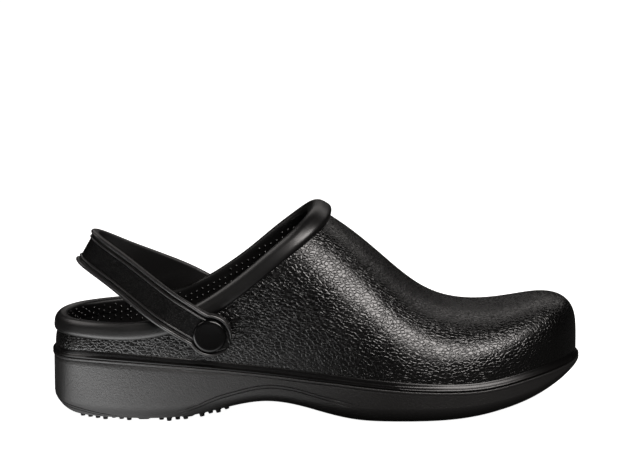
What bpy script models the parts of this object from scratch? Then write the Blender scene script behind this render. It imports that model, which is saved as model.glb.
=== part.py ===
"""A chef clog for the right foot, standing empty on the floor.

The moulded upper is a hollow shell with a rolled collar, open at the collar and underneath. It stands on the rim of a
thick sole, which has a rubber outsole with lugs let into its underside and a cupped insole in its well. A heel strap
with raised edges turns round the back and is held on each side by a round-headed rivet.

The frame is in metres: +X to the toe, +Z up, and the origin on the floor under the middle of the heel. The lateral
side is at -Y. Tables are in millimetres, measured from the back of the heel, and are scaled by the driving sizes.
"""

import math

import bmesh
import bpy
import numpy as np
from mathutils import Vector

MM = 0.001
GAP = 0.3

# Driving sizes
LENGTH = 296.0
BALL_WIDTH = 108.0
HEEL_HEIGHT = 36.5
INSTEP_HEIGHT = 114.0
HEEL_SEAT = 40.0

# The last that the tables were drawn on
DRAWN_LENGTH = 296.0
DRAWN_WIDTH = 108.0
DRAWN_HEEL = 36.5
DRAWN_INSTEP = 114.0

# Walls, rims and rolls
WALL = 4.5
LEDGE_INSET = 1.7
LEDGE_CREASE = 0.3
TUCK_HEIGHT = 15.0
COLLAR_THICKNESS = 6.8
COLLAR_DEPTH = 9.8
COLLAR_DEPTH_THROAT = 12.0
COLLAR_SQUARENESS = 2.5
COLLAR_PROUD = 1.1
COLLAR_PROUD_THROAT = 3.8
EDGE_CHAMFER = 0.6
BEAD_HEIGHT = 1.1
BEAD_PROUD = 0.6
ROLL_POWER = 1.8
ROLL_POWER_TOE = 1.5
SEAM_GAP = 0.15
WELL_TOP_INSET = 7.4
WELL_FLOOR_INSET = 8.4
INSOLE_THICKNESS = 4.0
INSOLE_CUP = 2.2
POCKET = 1.6
LUG_HEIGHT = 2.5
LUG_RADIUS = 5.2
LUG_PITCH = 14.0
LUG_SINK = 0.8
LUG_MARGIN_HEEL = 0.5
LUG_MARGIN_FOREFOOT = 8.0

# Heel strap and rivets
STRAP_SLOPE = 30.7
STRAP_APEX = (22.2, 93.5)
STRAP_HALF_WIDTH = 10.2
STRAP_WEB = 2.6
STRAP_BEAD = 1.6
STRAP_RIB = 0.7
STRAP_END_RADIUS = 12.0
STRAP_PAD_RADIUS = 15.8
RIVET_REACH = 80.8
RIVET_HEAD_RADIUS = 9.1
RIVET_HEAD_HEIGHT = 2.8
RIVET_SHANK_RADIUS = 3.5
RIVET_TAIL_RADIUS = 6.0
RIVET_TAIL_HEIGHT = 1.6
SEAT_RADIUS = 6.3

# The sole's outline seen from above, from the back of the heel round the lateral side
OUTLINE = (
    # along, across
    (0.0, 0.0),
    (2.2, -14.0),
    (8.5, -25.5),
    (21.0, -33.5),
    (42.0, -38.5),
    (95.0, -40.0),
    (145.0, -46.5),
    (192.0, -54.5),
    (235.0, -51.5),
    (270.0, -35.0),
    (290.5, -12.5),
    (296.4, 8.0),
    (286.5, 32.5),
    (262.0, 48.0),
    (225.0, 53.5),
    (180.0, 49.0),
    (135.0, 41.5),
    (90.0, 39.0),
    (42.0, 38.5),
    (21.0, 33.5),
    (8.5, 25.5),
    (2.2, 14.0),
)

# Heights of the upper along the shoe. The ridge behind the throat only shapes the walls that the collar cuts.
UPPER_ROWS = (
    # along, seam, ledge height, ridge, squareness of the section
    (0.0, 36.2, 4.0, 110.0, 2.2),
    (20.0, 37.2, 4.4, 116.0, 2.2),
    (45.0, 36.3, 4.6, 121.5, 2.2),
    (75.0, 33.6, 4.6, 125.5, 2.25),
    (105.0, 30.6, 4.6, 126.0, 2.4),
    (130.0, 28.3, 4.6, 121.5, 2.7),
    (148.0, 26.5, 4.6, 113.4, 2.8),
    (160.0, 25.5, 4.6, 106.0, 2.65),
    (174.0, 24.1, 4.6, 95.3, 2.5),
    (185.0, 23.2, 4.6, 85.5, 2.45),
    (196.0, 22.3, 4.5, 75.5, 2.4),
    (208.0, 21.5, 4.4, 66.2, 2.45),
    (221.0, 20.9, 4.3, 59.9, 2.6),
    (235.0, 20.7, 4.3, 57.1, 2.8),
    (250.0, 21.7, 4.3, 57.0, 3.1),
    (264.0, 23.6, 4.3, 59.5, 3.5),
    (278.0, 25.3, 4.4, 63.1, 4.0),
    (288.0, 26.2, 4.4, 64.7, 4.4),
    (296.0, 26.6, 4.4, 64.6, 4.6),
)

# How far the wall round the heel leans in by the height of the collar
TUCK_ROWS = (
    # along, inwards
    (0.0, 1.8),
    (6.0, 3.4),
    (14.0, 3.9),
    (22.0, 3.2),
    (32.0, 2.0),
    (45.0, 0.9),
    (60.0, 0.0),
)

# Heights and rolled edge of the sole along the shoe
SOLE_ROWS = (
    # along, footbed, underside, roll width, roll height, step height, step depth
    (0.0, 31.0, 2.5, 10.8, 10.8, 9.0, 0.3),
    (14.0, 30.3, 2.5, 9.7, 9.7, 7.0, 0.5),
    (40.0, 29.2, 2.5, 9.0, 8.5, 2.6, 0.3),
    (68.0, 28.3, 2.8, 8.5, 8.5, 4.0, 0.1),
    (86.0, 27.4, 5.1, 8.0, 8.0, 8.0, 0.5),
    (104.0, 25.5, 9.7, 7.0, 6.5, 7.5, 0.8),
    (120.0, 23.2, 12.4, 6.5, 6.0, 7.0, 0.8),
    (137.0, 20.4, 10.8, 7.0, 6.5, 6.7, 0.8),
    (153.0, 17.6, 6.8, 8.0, 8.0, 5.8, 0.5),
    (172.0, 15.6, 3.2, 9.5, 9.5, 5.0, 0.0),
    (190.0, 14.6, 2.6, 10.0, 10.0, 5.0, 0.0),
    (206.0, 14.4, 2.6, 10.5, 10.0, 5.0, 0.0),
    (228.0, 15.4, 3.3, 11.0, 9.5, 5.0, 0.0),
    (250.0, 17.6, 5.8, 12.5, 9.5, 5.0, 0.0),
    (270.0, 20.8, 9.8, 15.0, 10.5, 4.5, 0.0),
    (284.0, 23.2, 13.8, 18.0, 13.0, 4.0, 0.0),
    (296.0, 25.0, 17.6, 22.0, 15.0, 3.5, 0.0),
)

# The wall's cut edge seen from the side, which the collar is rolled round
COLLAR_ROWS = (
    # along, height
    (-9.0, 52.8),
    (1.0, 52.6),
    (13.0, 52.4),
    (27.0, 52.4),
    (41.0, 52.5),
    (51.0, 53.0),
    (61.0, 54.5),
    (72.0, 57.3),
    (83.0, 61.5),
    (93.0, 67.0),
    (104.0, 74.2),
    (114.5, 82.0),
    (129.5, 94.3),
    (142.6, 104.4),
    (150.0, 110.6),
)

# The middle of the strap in its own sloping plane, from the apex behind the heel to the end past the rivet
STRAP_ROWS = (
    # along the slope, half width, outward lean of the lower edge in degrees
    (0.0, 0.0, 0.0),
    (1.6, 5.0, 0.0),
    (6.5, 9.6, 2.0),
    (18.0, 16.2, 4.0),
    (31.5, 25.8, 8.0),
    (40.5, 32.6, 11.0),
    (48.5, 38.0, 12.5),
    (56.5, 41.8, 12.5),
    (63.5, 43.0, 8.0),
    (70.5, 43.1, 0.0),
    (79.5, 43.0, 0.0),
    (88.5, 43.0, 0.0),
    (98.0, 43.0, 0.0),
)

# How finely the columns and rows are laid
SIDE_STATIONS = 17
HEEL_RAYS = 13
TOE_RAYS = 17
DOME_ROWS = 10
COLLAR_STATIONS = 60
COLLAR_SIDES = 12
STRAP_STATIONS = 13
STRAP_END_STATIONS = 6


def natural_spline(knots, values):
    """A function through the knots with continuous curvature, straight beyond the ends."""
    knots = np.asarray(knots, float)
    values = np.asarray(values, float)
    count = len(knots)
    step = np.diff(knots)
    slope = np.diff(values) / step
    system = np.eye(count)
    right = np.zeros(count)
    for i in range(1, count - 1):
        system[i, i - 1 : i + 2] = step[i - 1], 2 * (step[i - 1] + step[i]), step[i]
        right[i] = 6 * (slope[i] - slope[i - 1])
    bend = np.linalg.solve(system, right)

    def value(x):
        x = np.asarray(x, float)
        inside = np.clip(x, knots[0], knots[-1])
        i = np.clip(np.searchsorted(knots, inside) - 1, 0, count - 2)
        a = (knots[i + 1] - inside) / step[i]
        b = 1 - a
        curve = (a**3 - a) * bend[i] + (b**3 - b) * bend[i + 1]
        result = a * values[i] + b * values[i + 1] + curve * step[i] ** 2 / 6
        first = slope[0] - step[0] * bend[1] / 6
        last = slope[-1] + step[-1] * bend[-2] / 6
        return result + first * np.minimum(x - knots[0], 0) + last * np.maximum(x - knots[-1], 0)

    return value


def column_of(rows, index, scale=1.0, along_scale=LENGTH / DRAWN_LENGTH):
    """One column of a table as a function of the distance along the shoe."""
    table = np.array(rows)
    return natural_spline(table[:, 0] * along_scale, table[:, index] * scale)


HEEL_SCALE = HEEL_HEIGHT / DRAWN_HEEL
INSTEP_SCALE = INSTEP_HEIGHT / DRAWN_INSTEP
WIDTH_SCALE = BALL_WIDTH / DRAWN_WIDTH
LENGTH_SCALE = LENGTH / DRAWN_LENGTH

seam_height = column_of(UPPER_ROWS, 1, HEEL_SCALE)
ledge_height = column_of(UPPER_ROWS, 2)
ridge_height = column_of(UPPER_ROWS, 3, INSTEP_SCALE)
squareness = column_of(UPPER_ROWS, 4)
footbed_height = column_of(SOLE_ROWS, 1, HEEL_SCALE)
underside_height = column_of(SOLE_ROWS, 2, HEEL_SCALE)
roll_width = column_of(SOLE_ROWS, 3)
roll_height = column_of(SOLE_ROWS, 4)
step_height = column_of(SOLE_ROWS, 5)
step_depth = column_of(SOLE_ROWS, 6)
collar_height = column_of(COLLAR_ROWS, 1, INSTEP_SCALE)


def closed_spline(points, samples):
    """A smooth closed curve through the points, as evenly spaced samples."""
    laps = 3
    ring = np.array(points * laps + (points[0],), float)
    reach = np.concatenate([[0.0], np.cumsum(np.linalg.norm(np.diff(ring, axis=0), axis=1))])
    lap = reach[len(points)]
    fine = np.linspace(lap, 2 * lap, 8 * samples + 1)
    curve = np.stack([natural_spline(reach, ring[:, k])(fine) for k in (0, 1)], axis=1)
    return resample(curve, samples + 1)[:-1]


def resample(points, count, bend=0.0):
    """The polyline redrawn with this many points, closer together where it turns if bend is more than 0."""
    points = np.asarray(points, float)
    step = np.diff(points, axis=0)
    length = np.linalg.norm(step, axis=1)
    unit = step / np.maximum(length, 1e-9)[:, None]
    turn = np.arccos(np.clip((unit[1:] * unit[:-1]).sum(axis=1), -1, 1))
    weight = length.copy()
    weight[:-1] += bend * turn / 2
    weight[1:] += bend * turn / 2
    reach = np.concatenate([[0.0], np.cumsum(weight)])
    wanted = np.linspace(0, reach[-1], count)
    return np.stack([np.interp(wanted, reach, points[:, k]) for k in range(points.shape[1])], axis=1)


SCALED_OUTLINE = tuple((x * LENGTH_SCALE, y * WIDTH_SCALE) for x, y in OUTLINE)
OUTLINE_CURVE = closed_spline(SCALED_OUTLINE, 720)

HEEL_POLE = np.array([40.0 * LENGTH_SCALE, 0.0])
TOE_POLE = np.array([236.0 * LENGTH_SCALE, 1.5])


def spine(x):
    """The line down the middle that every column runs up to."""
    share = np.clip((x - HEEL_POLE[0]) / (TOE_POLE[0] - HEEL_POLE[0]), 0, 1)
    return HEEL_POLE + (TOE_POLE - HEEL_POLE) * share


def rays(stations, heel_rays, toe_rays):
    """The columns' starting points on the spine and their directions, once round from the back of the heel."""
    half_heel = np.linspace(180, 270, heel_rays // 2 + 2)[:-1]
    half_toe = np.linspace(-90, 0, toe_rays // 2 + 2)[1:]
    lateral = [(HEEL_POLE, angle) for angle in half_heel]
    lateral += [(spine(x), 270) for x in np.linspace(HEEL_POLE[0], TOE_POLE[0], stations)]
    lateral += [(TOE_POLE, angle) for angle in half_toe]
    medial = [(start, -angle) for start, angle in lateral[1:-1]][::-1]
    found = []
    for start, angle in lateral + medial:
        turn = math.radians(angle)
        found.append((start, np.array([math.cos(turn), math.sin(turn)])))
    return found


def outline_hit(start, direction):
    """Where a ray from the spine meets the sole's outline, and the outline's outward normal there."""
    offset = OUTLINE_CURVE - start
    side = offset[:, 0] * direction[1] - offset[:, 1] * direction[0]
    ahead = offset @ direction > 0
    following = np.roll(side, -1)
    crossing = np.where((side * following <= 0) & ahead & np.roll(ahead, -1))[0][0]
    nearer = OUTLINE_CURVE[crossing]
    further = OUTLINE_CURVE[(crossing + 1) % len(OUTLINE_CURVE)]
    share = side[crossing] / (side[crossing] - following[crossing])
    before = OUTLINE_CURVE[crossing - 4]
    after = OUTLINE_CURVE[(crossing + 5) % len(OUTLINE_CURVE)]
    tangent = (after - before) / np.linalg.norm(after - before)
    return nearer + (further - nearer) * share, np.array([tangent[1], -tangent[0]])


def dome_line(ray, inset, drop, samples=90):
    """One column of the last's surface, from the ledge up to the spine, as a fine polyline."""
    start, direction = ray
    edge, normal = outline_hit(start, direction)
    foot = edge - normal * inset
    base = seam_height(edge[0]) + ledge_height(edge[0])
    power = 2 / squareness(edge[0])
    angle = np.linspace(0, math.pi / 2, samples) ** 1.35
    angle *= (math.pi / 2) / angle[-1]
    out = np.cos(angle) ** power
    up = np.sin(angle) ** power
    out[-1] = 0.0
    plan = start + (foot - start) * out[:, None]
    height = base + (ridge_height(plan[:, 0]) - drop - base) * up
    tuck = np.interp(edge[0], *np.array(TUCK_ROWS).T)
    risen = np.clip((height - base) / TUCK_HEIGHT, 0, 1)
    plan -= normal * (tuck * risen * risen * (3 - 2 * risen) * out**0.5)[:, None]
    return np.column_stack([plan, height])


def upper_column(ray):
    """A column of the upper's shell: down the inside, under the wall's foot, over the ledge and up the outside."""
    start, direction = ray
    edge, normal = outline_hit(start, direction)
    seam = seam_height(edge[0])
    ledge = ledge_height(edge[0])
    bend = 14.0
    outside = resample(dome_line(ray, LEDGE_INSET, 0.0), DOME_ROWS, bend)
    inside = resample(dome_line(ray, LEDGE_INSET + WALL, WALL), DOME_ROWS, bend)[::-1]
    ledge_profile = (
        # inset, height above the seam
        (LEDGE_INSET + WALL, SEAM_GAP),
        (EDGE_CHAMFER, SEAM_GAP),
        (0.0, SEAM_GAP + 0.9 * EDGE_CHAMFER),
        (0.1, 0.32 * ledge),
        (0.65 * LEDGE_INSET, 0.52 * ledge),
        (LEDGE_INSET + LEDGE_CREASE, 0.95 * ledge),
    )
    foot = [[*(edge - normal * inset), seam + height] for inset, height in ledge_profile]
    return np.vstack([inside, foot, outside])


def sole_rim(edge, normal):
    """Where the sole's rolled edge ends and its underside starts."""
    rim = edge - normal * (roll_width(edge[0]) + 0.5)
    return rim, float(underside_height(rim[0]))


def sole_profile(edge, normal):
    """Inset and height of the sole's side, from its top edge down to where its rolled edge ends."""
    x = edge[0]
    bottom = sole_rim(edge, normal)[1]
    top = float(seam_height(x)) - SEAM_GAP - EDGE_CHAMFER
    width = float(roll_width(x))
    height = min(float(roll_height(x)), top - bottom - 0.8)
    step = bottom + min(float(step_height(x)), top - bottom - BEAD_HEIGHT - 1.5)
    depth = max(float(step_depth(x)), 0.0)

    power = np.interp(x / LENGTH_SCALE, (240.0, 296.0), (ROLL_POWER, ROLL_POWER_TOE))
    groove = top - BEAD_HEIGHT - BEAD_PROUD * 0.6

    def rolled(z):
        rise = np.clip((bottom + height - z) / height, 0, 1)
        return width * (1 - (1 - rise**power) ** (1 / power))

    above = [(0.0, top), (rolled(top - BEAD_HEIGHT), top - BEAD_HEIGHT)]
    for z in np.linspace(groove, step, 4):
        lean = BEAD_PROUD * np.clip((z - bottom - height) / (groove - bottom - height), 0, 1)
        above.append((rolled(z) + lean, z))
    lip = np.clip((bottom + height - step) / height, 0, 1)
    below = [(rolled(step) + depth, step - max(0.5 * depth, 0.12))]
    for share in 1 - (1 - lip) * np.array([0.72, 0.46, 0.24, 0.08, 0.0]):
        z = bottom + height * (1 - share)
        below.append((rolled(z) + depth * (1 - share) / (1 - lip + 1e-6), z))
    return above + below


def sole_column(ray):
    """A column of the sole: the well, the rim under the upper, the side, the roll and the outsole's pocket."""
    start, direction = ray
    edge, normal = outline_hit(start, direction)
    seam = seam_height(edge[0])

    def at(inset, height):
        return [*(edge - normal * inset), height]

    floor = edge - normal * WELL_FLOOR_INSET
    middle = (floor + start) / 2
    points = [
        [*start, footbed_height(start[0])],
        [*middle, footbed_height(middle[0])],
        [*floor, footbed_height(floor[0])],
        at(WELL_TOP_INSET, seam - SEAM_GAP),
        at(EDGE_CHAMFER, seam - SEAM_GAP),
    ]
    points += [at(inset, height) for inset, height in sole_profile(edge, normal)]
    pocket, bottom = sole_rim(edge, normal)
    inner = (pocket + start) / 2
    points += [
        [*pocket, bottom + POCKET],
        [*inner, underside_height(inner[0]) + POCKET],
        [*start, underside_height(start[0]) + POCKET],
    ]
    return np.array(points)


def outsole_column(ray):
    """A column of the outsole's plate, which fills the pocket and follows the sole's underside."""
    start, direction = ray
    edge, normal = outline_hit(start, direction)
    pocket, bottom = sole_rim(edge, normal)
    rim = pocket - normal * GAP
    middle = (rim + start) / 2
    top = POCKET - GAP
    return np.array(
        [
            [*start, underside_height(start[0]) + top],
            [*middle, underside_height(middle[0]) + top],
            [*rim, bottom + top],
            [*rim, bottom + 0.1],
            [*middle, underside_height(middle[0])],
            [*start, underside_height(start[0])],
        ]
    )


def insole_column(ray):
    """A column of the insole, whose edge is cupped up against the wall."""
    start, direction = ray
    edge, normal = outline_hit(start, direction)
    rim = edge - normal * (WELL_FLOOR_INSET + GAP)
    shoulder = edge - normal * (WELL_FLOOR_INSET + GAP + 6.0)
    middle = (rim + start) / 2
    cup = INSOLE_CUP * (1 - np.clip((edge[0] - 60) / 110, 0, 1))
    return np.array(
        [
            [*start, footbed_height(start[0]) + GAP + INSOLE_THICKNESS],
            [*middle, footbed_height(middle[0]) + GAP + INSOLE_THICKNESS],
            [*shoulder, footbed_height(shoulder[0]) + GAP + INSOLE_THICKNESS + 0.2 * cup],
            [*rim, footbed_height(rim[0]) + GAP + INSOLE_THICKNESS - 0.8 + cup],
            [*rim, footbed_height(rim[0]) + GAP],
            [*middle, footbed_height(middle[0]) + GAP],
            [*start, footbed_height(start[0]) + GAP],
        ]
    )


def wall_middle(start, angle):
    """A column of the surface halfway through the upper's wall, at this angle seen from above."""
    turn = math.radians(angle)
    ray = (start, np.array([math.cos(turn), math.sin(turn)]))
    return dome_line(ray, LEDGE_INSET + WALL / 2, WALL / 2, 400)


def find_throat():
    """Where the collar's line meets the ridge, by halving."""
    low, high = 120.0 * LENGTH_SCALE, 170.0 * LENGTH_SCALE
    for _ in range(40):
        middle = (low + high) / 2
        if collar_height(middle) < ridge_height(middle) - WALL / 2:
            low = middle
        else:
            high = middle
    return low


def collar_point(start, angle, side):
    """A point of the collar's line on one side of the shoe, and the wall's outward normal there."""
    line = wall_middle(start, -side * angle)
    above = line[:, 2] - collar_height(line[:, 0])
    i = np.where(above >= 0)[0][0]
    share = above[i - 1] / (above[i - 1] - above[i])
    point = line[i - 1] + (line[i] - line[i - 1]) * share
    if angle == 270.0:
        ahead, behind = (wall_middle(spine(start[0] + step), -side * angle) for step in (2.0, -2.0))
    else:
        ahead, behind = (wall_middle(start, -side * (angle + step)) for step in (3.0, -3.0))
    normal = side * np.cross(line[min(i + 8, len(line) - 1)] - line[i - 8], ahead[i] - behind[i])
    return [*point, *(normal / np.linalg.norm(normal))]


def collar_path():
    """The closed line along the middle of the wall's cut edge, with the wall's outward normal at each point.

    Both are evened out a little, so that the rolled rim runs smoothly round the throat.
    """
    throat = find_throat()
    back = [(HEEL_POLE, angle) for angle in np.linspace(180, 270, 24)[:-1]]
    run = throat - (throat - HEEL_POLE[0]) * np.linspace(1, 0, 90)[:-1] ** 1.8
    back += [(spine(x), 270.0) for x in run]
    lateral = [collar_point(start, angle, -1) for start, angle in back]
    medial = [collar_point(start, angle, 1) for start, angle in back[1:]]
    fall = ridge_height(throat - 0.5) - ridge_height(throat + 0.5)
    normal = np.array([fall, 0.0, 1.0]) / math.hypot(fall, 1.0)
    top = [[throat, spine(throat)[1], ridge_height(throat) - WALL / 2, *normal]]
    loop = np.vstack([lateral, top, medial[::-1], lateral[:1]])
    even = resample(loop, 361)[:-1]
    steps = np.arange(-6, 7)
    weights = np.exp(-0.5 * (steps / 2.5) ** 2)
    weights /= weights.sum()
    smooth = sum(weight * np.roll(even, step, axis=0) for weight, step in zip(weights, steps))
    return resample(np.vstack([smooth, smooth[:1]]), COLLAR_STATIONS + 1)[:-1]


def collar_rings():
    """The rings of the rolled collar, square to its path. Its inner face lies level with the wall's."""
    throat = find_throat()
    path = collar_path()
    spots = path[:, :3]
    tangent = np.roll(spots, -1, axis=0) - np.roll(spots, 1, axis=0)
    tangent /= np.linalg.norm(tangent, axis=1)[:, None]
    outward = path[:, 3:] - tangent * (path[:, 3:] * tangent).sum(axis=1)[:, None]
    outward /= np.linalg.norm(outward, axis=1)[:, None]
    upward = np.cross(outward, tangent)
    power = 2 / COLLAR_SQUARENESS
    angle = np.linspace(0, 2 * math.pi, COLLAR_SIDES, endpoint=False)
    across = np.sign(np.cos(angle)) * np.abs(np.cos(angle)) ** power / 2
    rise = np.sign(np.sin(angle)) * np.abs(np.sin(angle)) ** power / 2
    rings = []
    for spot, out, up in zip(spots, outward, upward):
        near = np.clip((spot[0] - throat + 35) / 35, 0, 1) ** 2
        lift = COLLAR_PROUD + (COLLAR_PROUD_THROAT - COLLAR_PROUD) * near
        depth = COLLAR_DEPTH + (COLLAR_DEPTH_THROAT - COLLAR_DEPTH) * near
        drop = (depth - COLLAR_DEPTH) / 2
        ring = spot + np.outer(lift + across * COLLAR_THICKNESS, out)
        rings.append(ring + np.outer(rise * depth - drop, up))
    return rings


def place(points):
    """Shoe millimetres, measured from the back of the heel, as metres in the part's frame."""
    moved = np.asarray(points, float) * MM
    moved[..., 0] -= HEEL_SEAT * MM
    return moved


def collection(name):
    made = bpy.data.collections.new(name)
    bpy.context.scene.collection.children.link(made)
    return made


def material(name, colour, roughness):
    made = bpy.data.materials.new(name)
    made.use_nodes = True
    shader = made.node_tree.nodes["Principled BSDF"]
    shader.inputs["Base Color"].default_value = (*colour, 1.0)
    shader.inputs["Roughness"].default_value = roughness
    shader.inputs["Metallic"].default_value = 0.0
    return made


def add_mesh(name, points, faces, group, finish=None):
    """A closed mesh from points in metres, its doubled points joined and its faces turned outwards."""
    mesh = bpy.data.meshes.new(name)
    mesh.from_pydata([tuple(p) for p in points], [], faces)
    work = bmesh.new()
    work.from_mesh(mesh)
    bmesh.ops.remove_doubles(work, verts=work.verts, dist=1e-6)
    bmesh.ops.recalc_face_normals(work, faces=work.faces)
    work.to_mesh(mesh)
    work.free()
    mesh.shade_smooth()
    mesh.set_sharp_from_angle(angle=math.radians(40))
    made = bpy.data.objects.new(name, mesh)
    group.objects.link(made)
    if finish:
        mesh.materials.append(finish)
    return made


def loft(name, rings, group, finish=None, closed=True, caps=False, loop=True):
    """Skins a row of rings of points. closed joins the last ring to the first, and loop closes each ring."""
    count = len(rings[0])
    points = np.vstack([place(ring) for ring in rings])
    faces = []
    for i in range(len(rings) if closed else len(rings) - 1):
        j = (i + 1) % len(rings)
        for k in range(count if loop else count - 1):
            n = (k + 1) % count
            faces.append((i * count + k, j * count + k, j * count + n, i * count + n))
    if caps:
        faces.append(tuple(range(count)))
        faces.append(tuple(range((len(rings) - 1) * count, len(rings) * count)))
    return add_mesh(name, points, faces, group, finish)


def boolean(target, other, operation):
    """Cuts or joins another object, which is kept out of the render."""
    other.hide_render = True
    other.display_type = "WIRE"
    made = target.modifiers.new(f"{operation.lower()}_{other.name}", "BOOLEAN")
    made.operation = operation
    made.object = other
    made.solver = "EXACT"


def make_upper(group, helpers, finish):
    """The moulded upper: the last's shell, cut at the collar, with its rolled rim, rivet seats and rivet holes."""
    columns = [upper_column(ray) for ray in rays(SIDE_STATIONS, HEEL_RAYS, TOE_RAYS)]
    upper = loft("upper", columns, group, finish, loop=False)

    throat = find_throat()
    run = np.linspace(-12.0, throat, 30)
    line = [(x, float(collar_height(x))) for x in run]
    side_view = line + [(throat, 220.0), (-12.0, 220.0)]
    far = BALL_WIDTH
    cutter = loft(
        "collar_cutter",
        [[(x, y, z) for x, z in side_view] for y in (-far, far)],
        helpers,
        closed=False,
        caps=True,
    )
    boolean(upper, cutter, "DIFFERENCE")

    rim = loft("collar_rim", collar_rings(), helpers)
    boolean(upper, rim, "UNION")

    for side, name in ((-1, "lateral"), (1, "medial")):
        wall = wall_at_rivet(side)
        seat_face = strap_inner_face(side) - side * GAP
        seat = cylinder_y(f"{name}_seat", SEAT_RADIUS, wall - side * WALL * 0.6, seat_face, helpers)
        boolean(upper, seat, "UNION")
    for side, name in ((-1, "lateral"), (1, "medial")):
        bore = cylinder_y(f"{name}_bore", RIVET_SHANK_RADIUS + GAP, side * 20.0, side * 60.0, helpers)
        boolean(upper, bore, "DIFFERENCE")
    return upper


def strap_point(reach, across, height):
    """A point of the strap in shoe millimetres, from its own sloping plane."""
    slope = math.radians(STRAP_SLOPE)
    x = STRAP_APEX[0] + reach * math.cos(slope) + height * math.sin(slope)
    z = STRAP_APEX[1] - reach * math.sin(slope) + height * math.cos(slope)
    return [x, across, z]


RIVET_SPOT = strap_point(RIVET_REACH, 0.0, 0.0)


def wall_at_rivet(side):
    """Y of the upper's outer face at the rivet."""
    ray = (spine(RIVET_SPOT[0]), np.array([0.0, float(side)]))
    line = dome_line(ray, LEDGE_INSET, 0.0)
    return float(np.interp(RIVET_SPOT[2], line[:, 2], line[:, 1]))


def strap_inner_face(side):
    """Y of the strap's inner face at the rivet."""
    half = float(strap_half_width(RIVET_REACH))
    return side * (half - STRAP_WEB / 2)


def strap_half_width(reach):
    """Half the distance between the strap's two sides at this reach."""
    table = np.array(STRAP_ROWS)
    return natural_spline(table[1:, 0], table[1:, 1])(reach)


def strap_centre_line():
    """The strap's middle line in its own plane, from the lateral end round the back to the medial end."""
    table = np.array(STRAP_ROWS)
    half = np.vstack([table[::-1] * (1, -1, 1), table[1:]])
    step = np.linalg.norm(np.diff(half[:, :2], axis=0), axis=1)
    reach = np.concatenate([[0.0], np.cumsum(step)])
    fine = np.linspace(0, reach[-1], 800)
    along, across = (natural_spline(reach, half[:, k])(fine) for k in (0, 1))
    return np.column_stack([along, across, np.interp(fine, reach, half[:, 2])])


def strap_section(half, fade):
    """Half sections of the strap as (outward, upward) points: two raised edges, two ribs and a flat inner face."""
    web = STRAP_WEB / 2
    rib = STRAP_RIB * fade
    distances = (
        # from the edge, outward of the middle
        (0.0, web - 0.5),
        (0.8, web + STRAP_BEAD),
        (1.7, web + 0.85 * STRAP_BEAD),
        (2.5, web),
        (3.4, web),
        (3.9, web + rib),
        (4.7, web + rib),
        (5.2, web),
    )
    reach = distances[-1][0]
    squeeze = min(1.0, 0.92 * half / reach)
    upper = [(out, half - gone * squeeze) for gone, out in distances]
    lower = [(out, -up) for out, up in upper[::-1]]
    inner = [(-web, -half + 0.8 * squeeze), (-web, half - 0.8 * squeeze)]
    return upper + lower + inner


def make_strap(group, helpers, finish):
    """The heel strap, lofted round the back with its raised edges, with round ends and a hole for each rivet."""
    line = strap_centre_line()
    length = np.concatenate([[0.0], np.cumsum(np.linalg.norm(np.diff(line[:, :2], axis=0), axis=1))])
    lateral = line[:, 1] < 0
    first = float(np.interp(-RIVET_REACH, -line[lateral][:, 0], length[lateral]))
    last = float(np.interp(RIVET_REACH, line[~lateral][:, 0], length[~lateral]))
    tip = STRAP_END_RADIUS - 0.25
    angles = np.linspace(0, math.pi / 2, STRAP_END_STATIONS)
    ends = tip * np.sin(angles)
    neck = np.linspace(tip * 0.35, STRAP_PAD_RADIUS + 3.0, 5)
    run = np.linspace(first + STRAP_PAD_RADIUS + 7.0, last - STRAP_PAD_RADIUS - 7.0, 2 * STRAP_STATIONS - 1)
    stations = np.concatenate([first - ends[::-1], first + neck, run, last - neck[::-1], last + ends])
    rings = []
    for spot in stations:
        here = np.array([np.interp(spot, length, line[:, k]) for k in (0, 1)])
        ahead = np.array([np.interp(spot + 1.0, length, line[:, k]) for k in (0, 1)])
        behind = np.array([np.interp(spot - 1.0, length, line[:, k]) for k in (0, 1)])
        along = (ahead - behind) / np.linalg.norm(ahead - behind)
        outward = np.array([-along[1], along[0]])
        lean = math.radians(np.interp(spot, length, line[:, 2]))
        nearest = min(abs(spot - first), abs(spot - last))
        round_end = math.sqrt(max(STRAP_END_RADIUS**2 - nearest**2, 0.0))
        beyond = spot < first or spot > last
        half = round_end if beyond else max(STRAP_HALF_WIDTH, round_end)
        fade = float(np.clip((nearest - STRAP_PAD_RADIUS) / 2.5, 0, 1))
        ring = []
        for out, up in strap_section(half, fade):
            reach, across = here + outward * (out * math.cos(lean) - up * math.sin(lean))
            ring.append(strap_point(reach, across, up * math.cos(lean) + out * math.sin(lean)))
        rings.append(ring)
    strap = loft("heel_strap", rings, group, finish, closed=False, caps=True)
    for side, name in ((-1, "lateral"), (1, "medial")):
        hole = cylinder_y(f"{name}_strap_hole", RIVET_SHANK_RADIUS + GAP, side * 30.0, side * 60.0, helpers)
        boolean(strap, hole, "DIFFERENCE")
    return strap


def cylinder_y(name, radius, near, far, group, sides=24):
    """A cylinder along Y at the rivet, from near to far in shoe millimetres."""
    rings = []
    for y in sorted((near, far)):
        turns = [2 * math.pi * k / sides for k in range(sides)]
        rings.append(
            [
                (RIVET_SPOT[0] + radius * math.cos(t), y, RIVET_SPOT[2] + radius * math.sin(t))
                for t in turns
            ]
        )
    return loft(name, rings, group, closed=False, caps=True)


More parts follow.
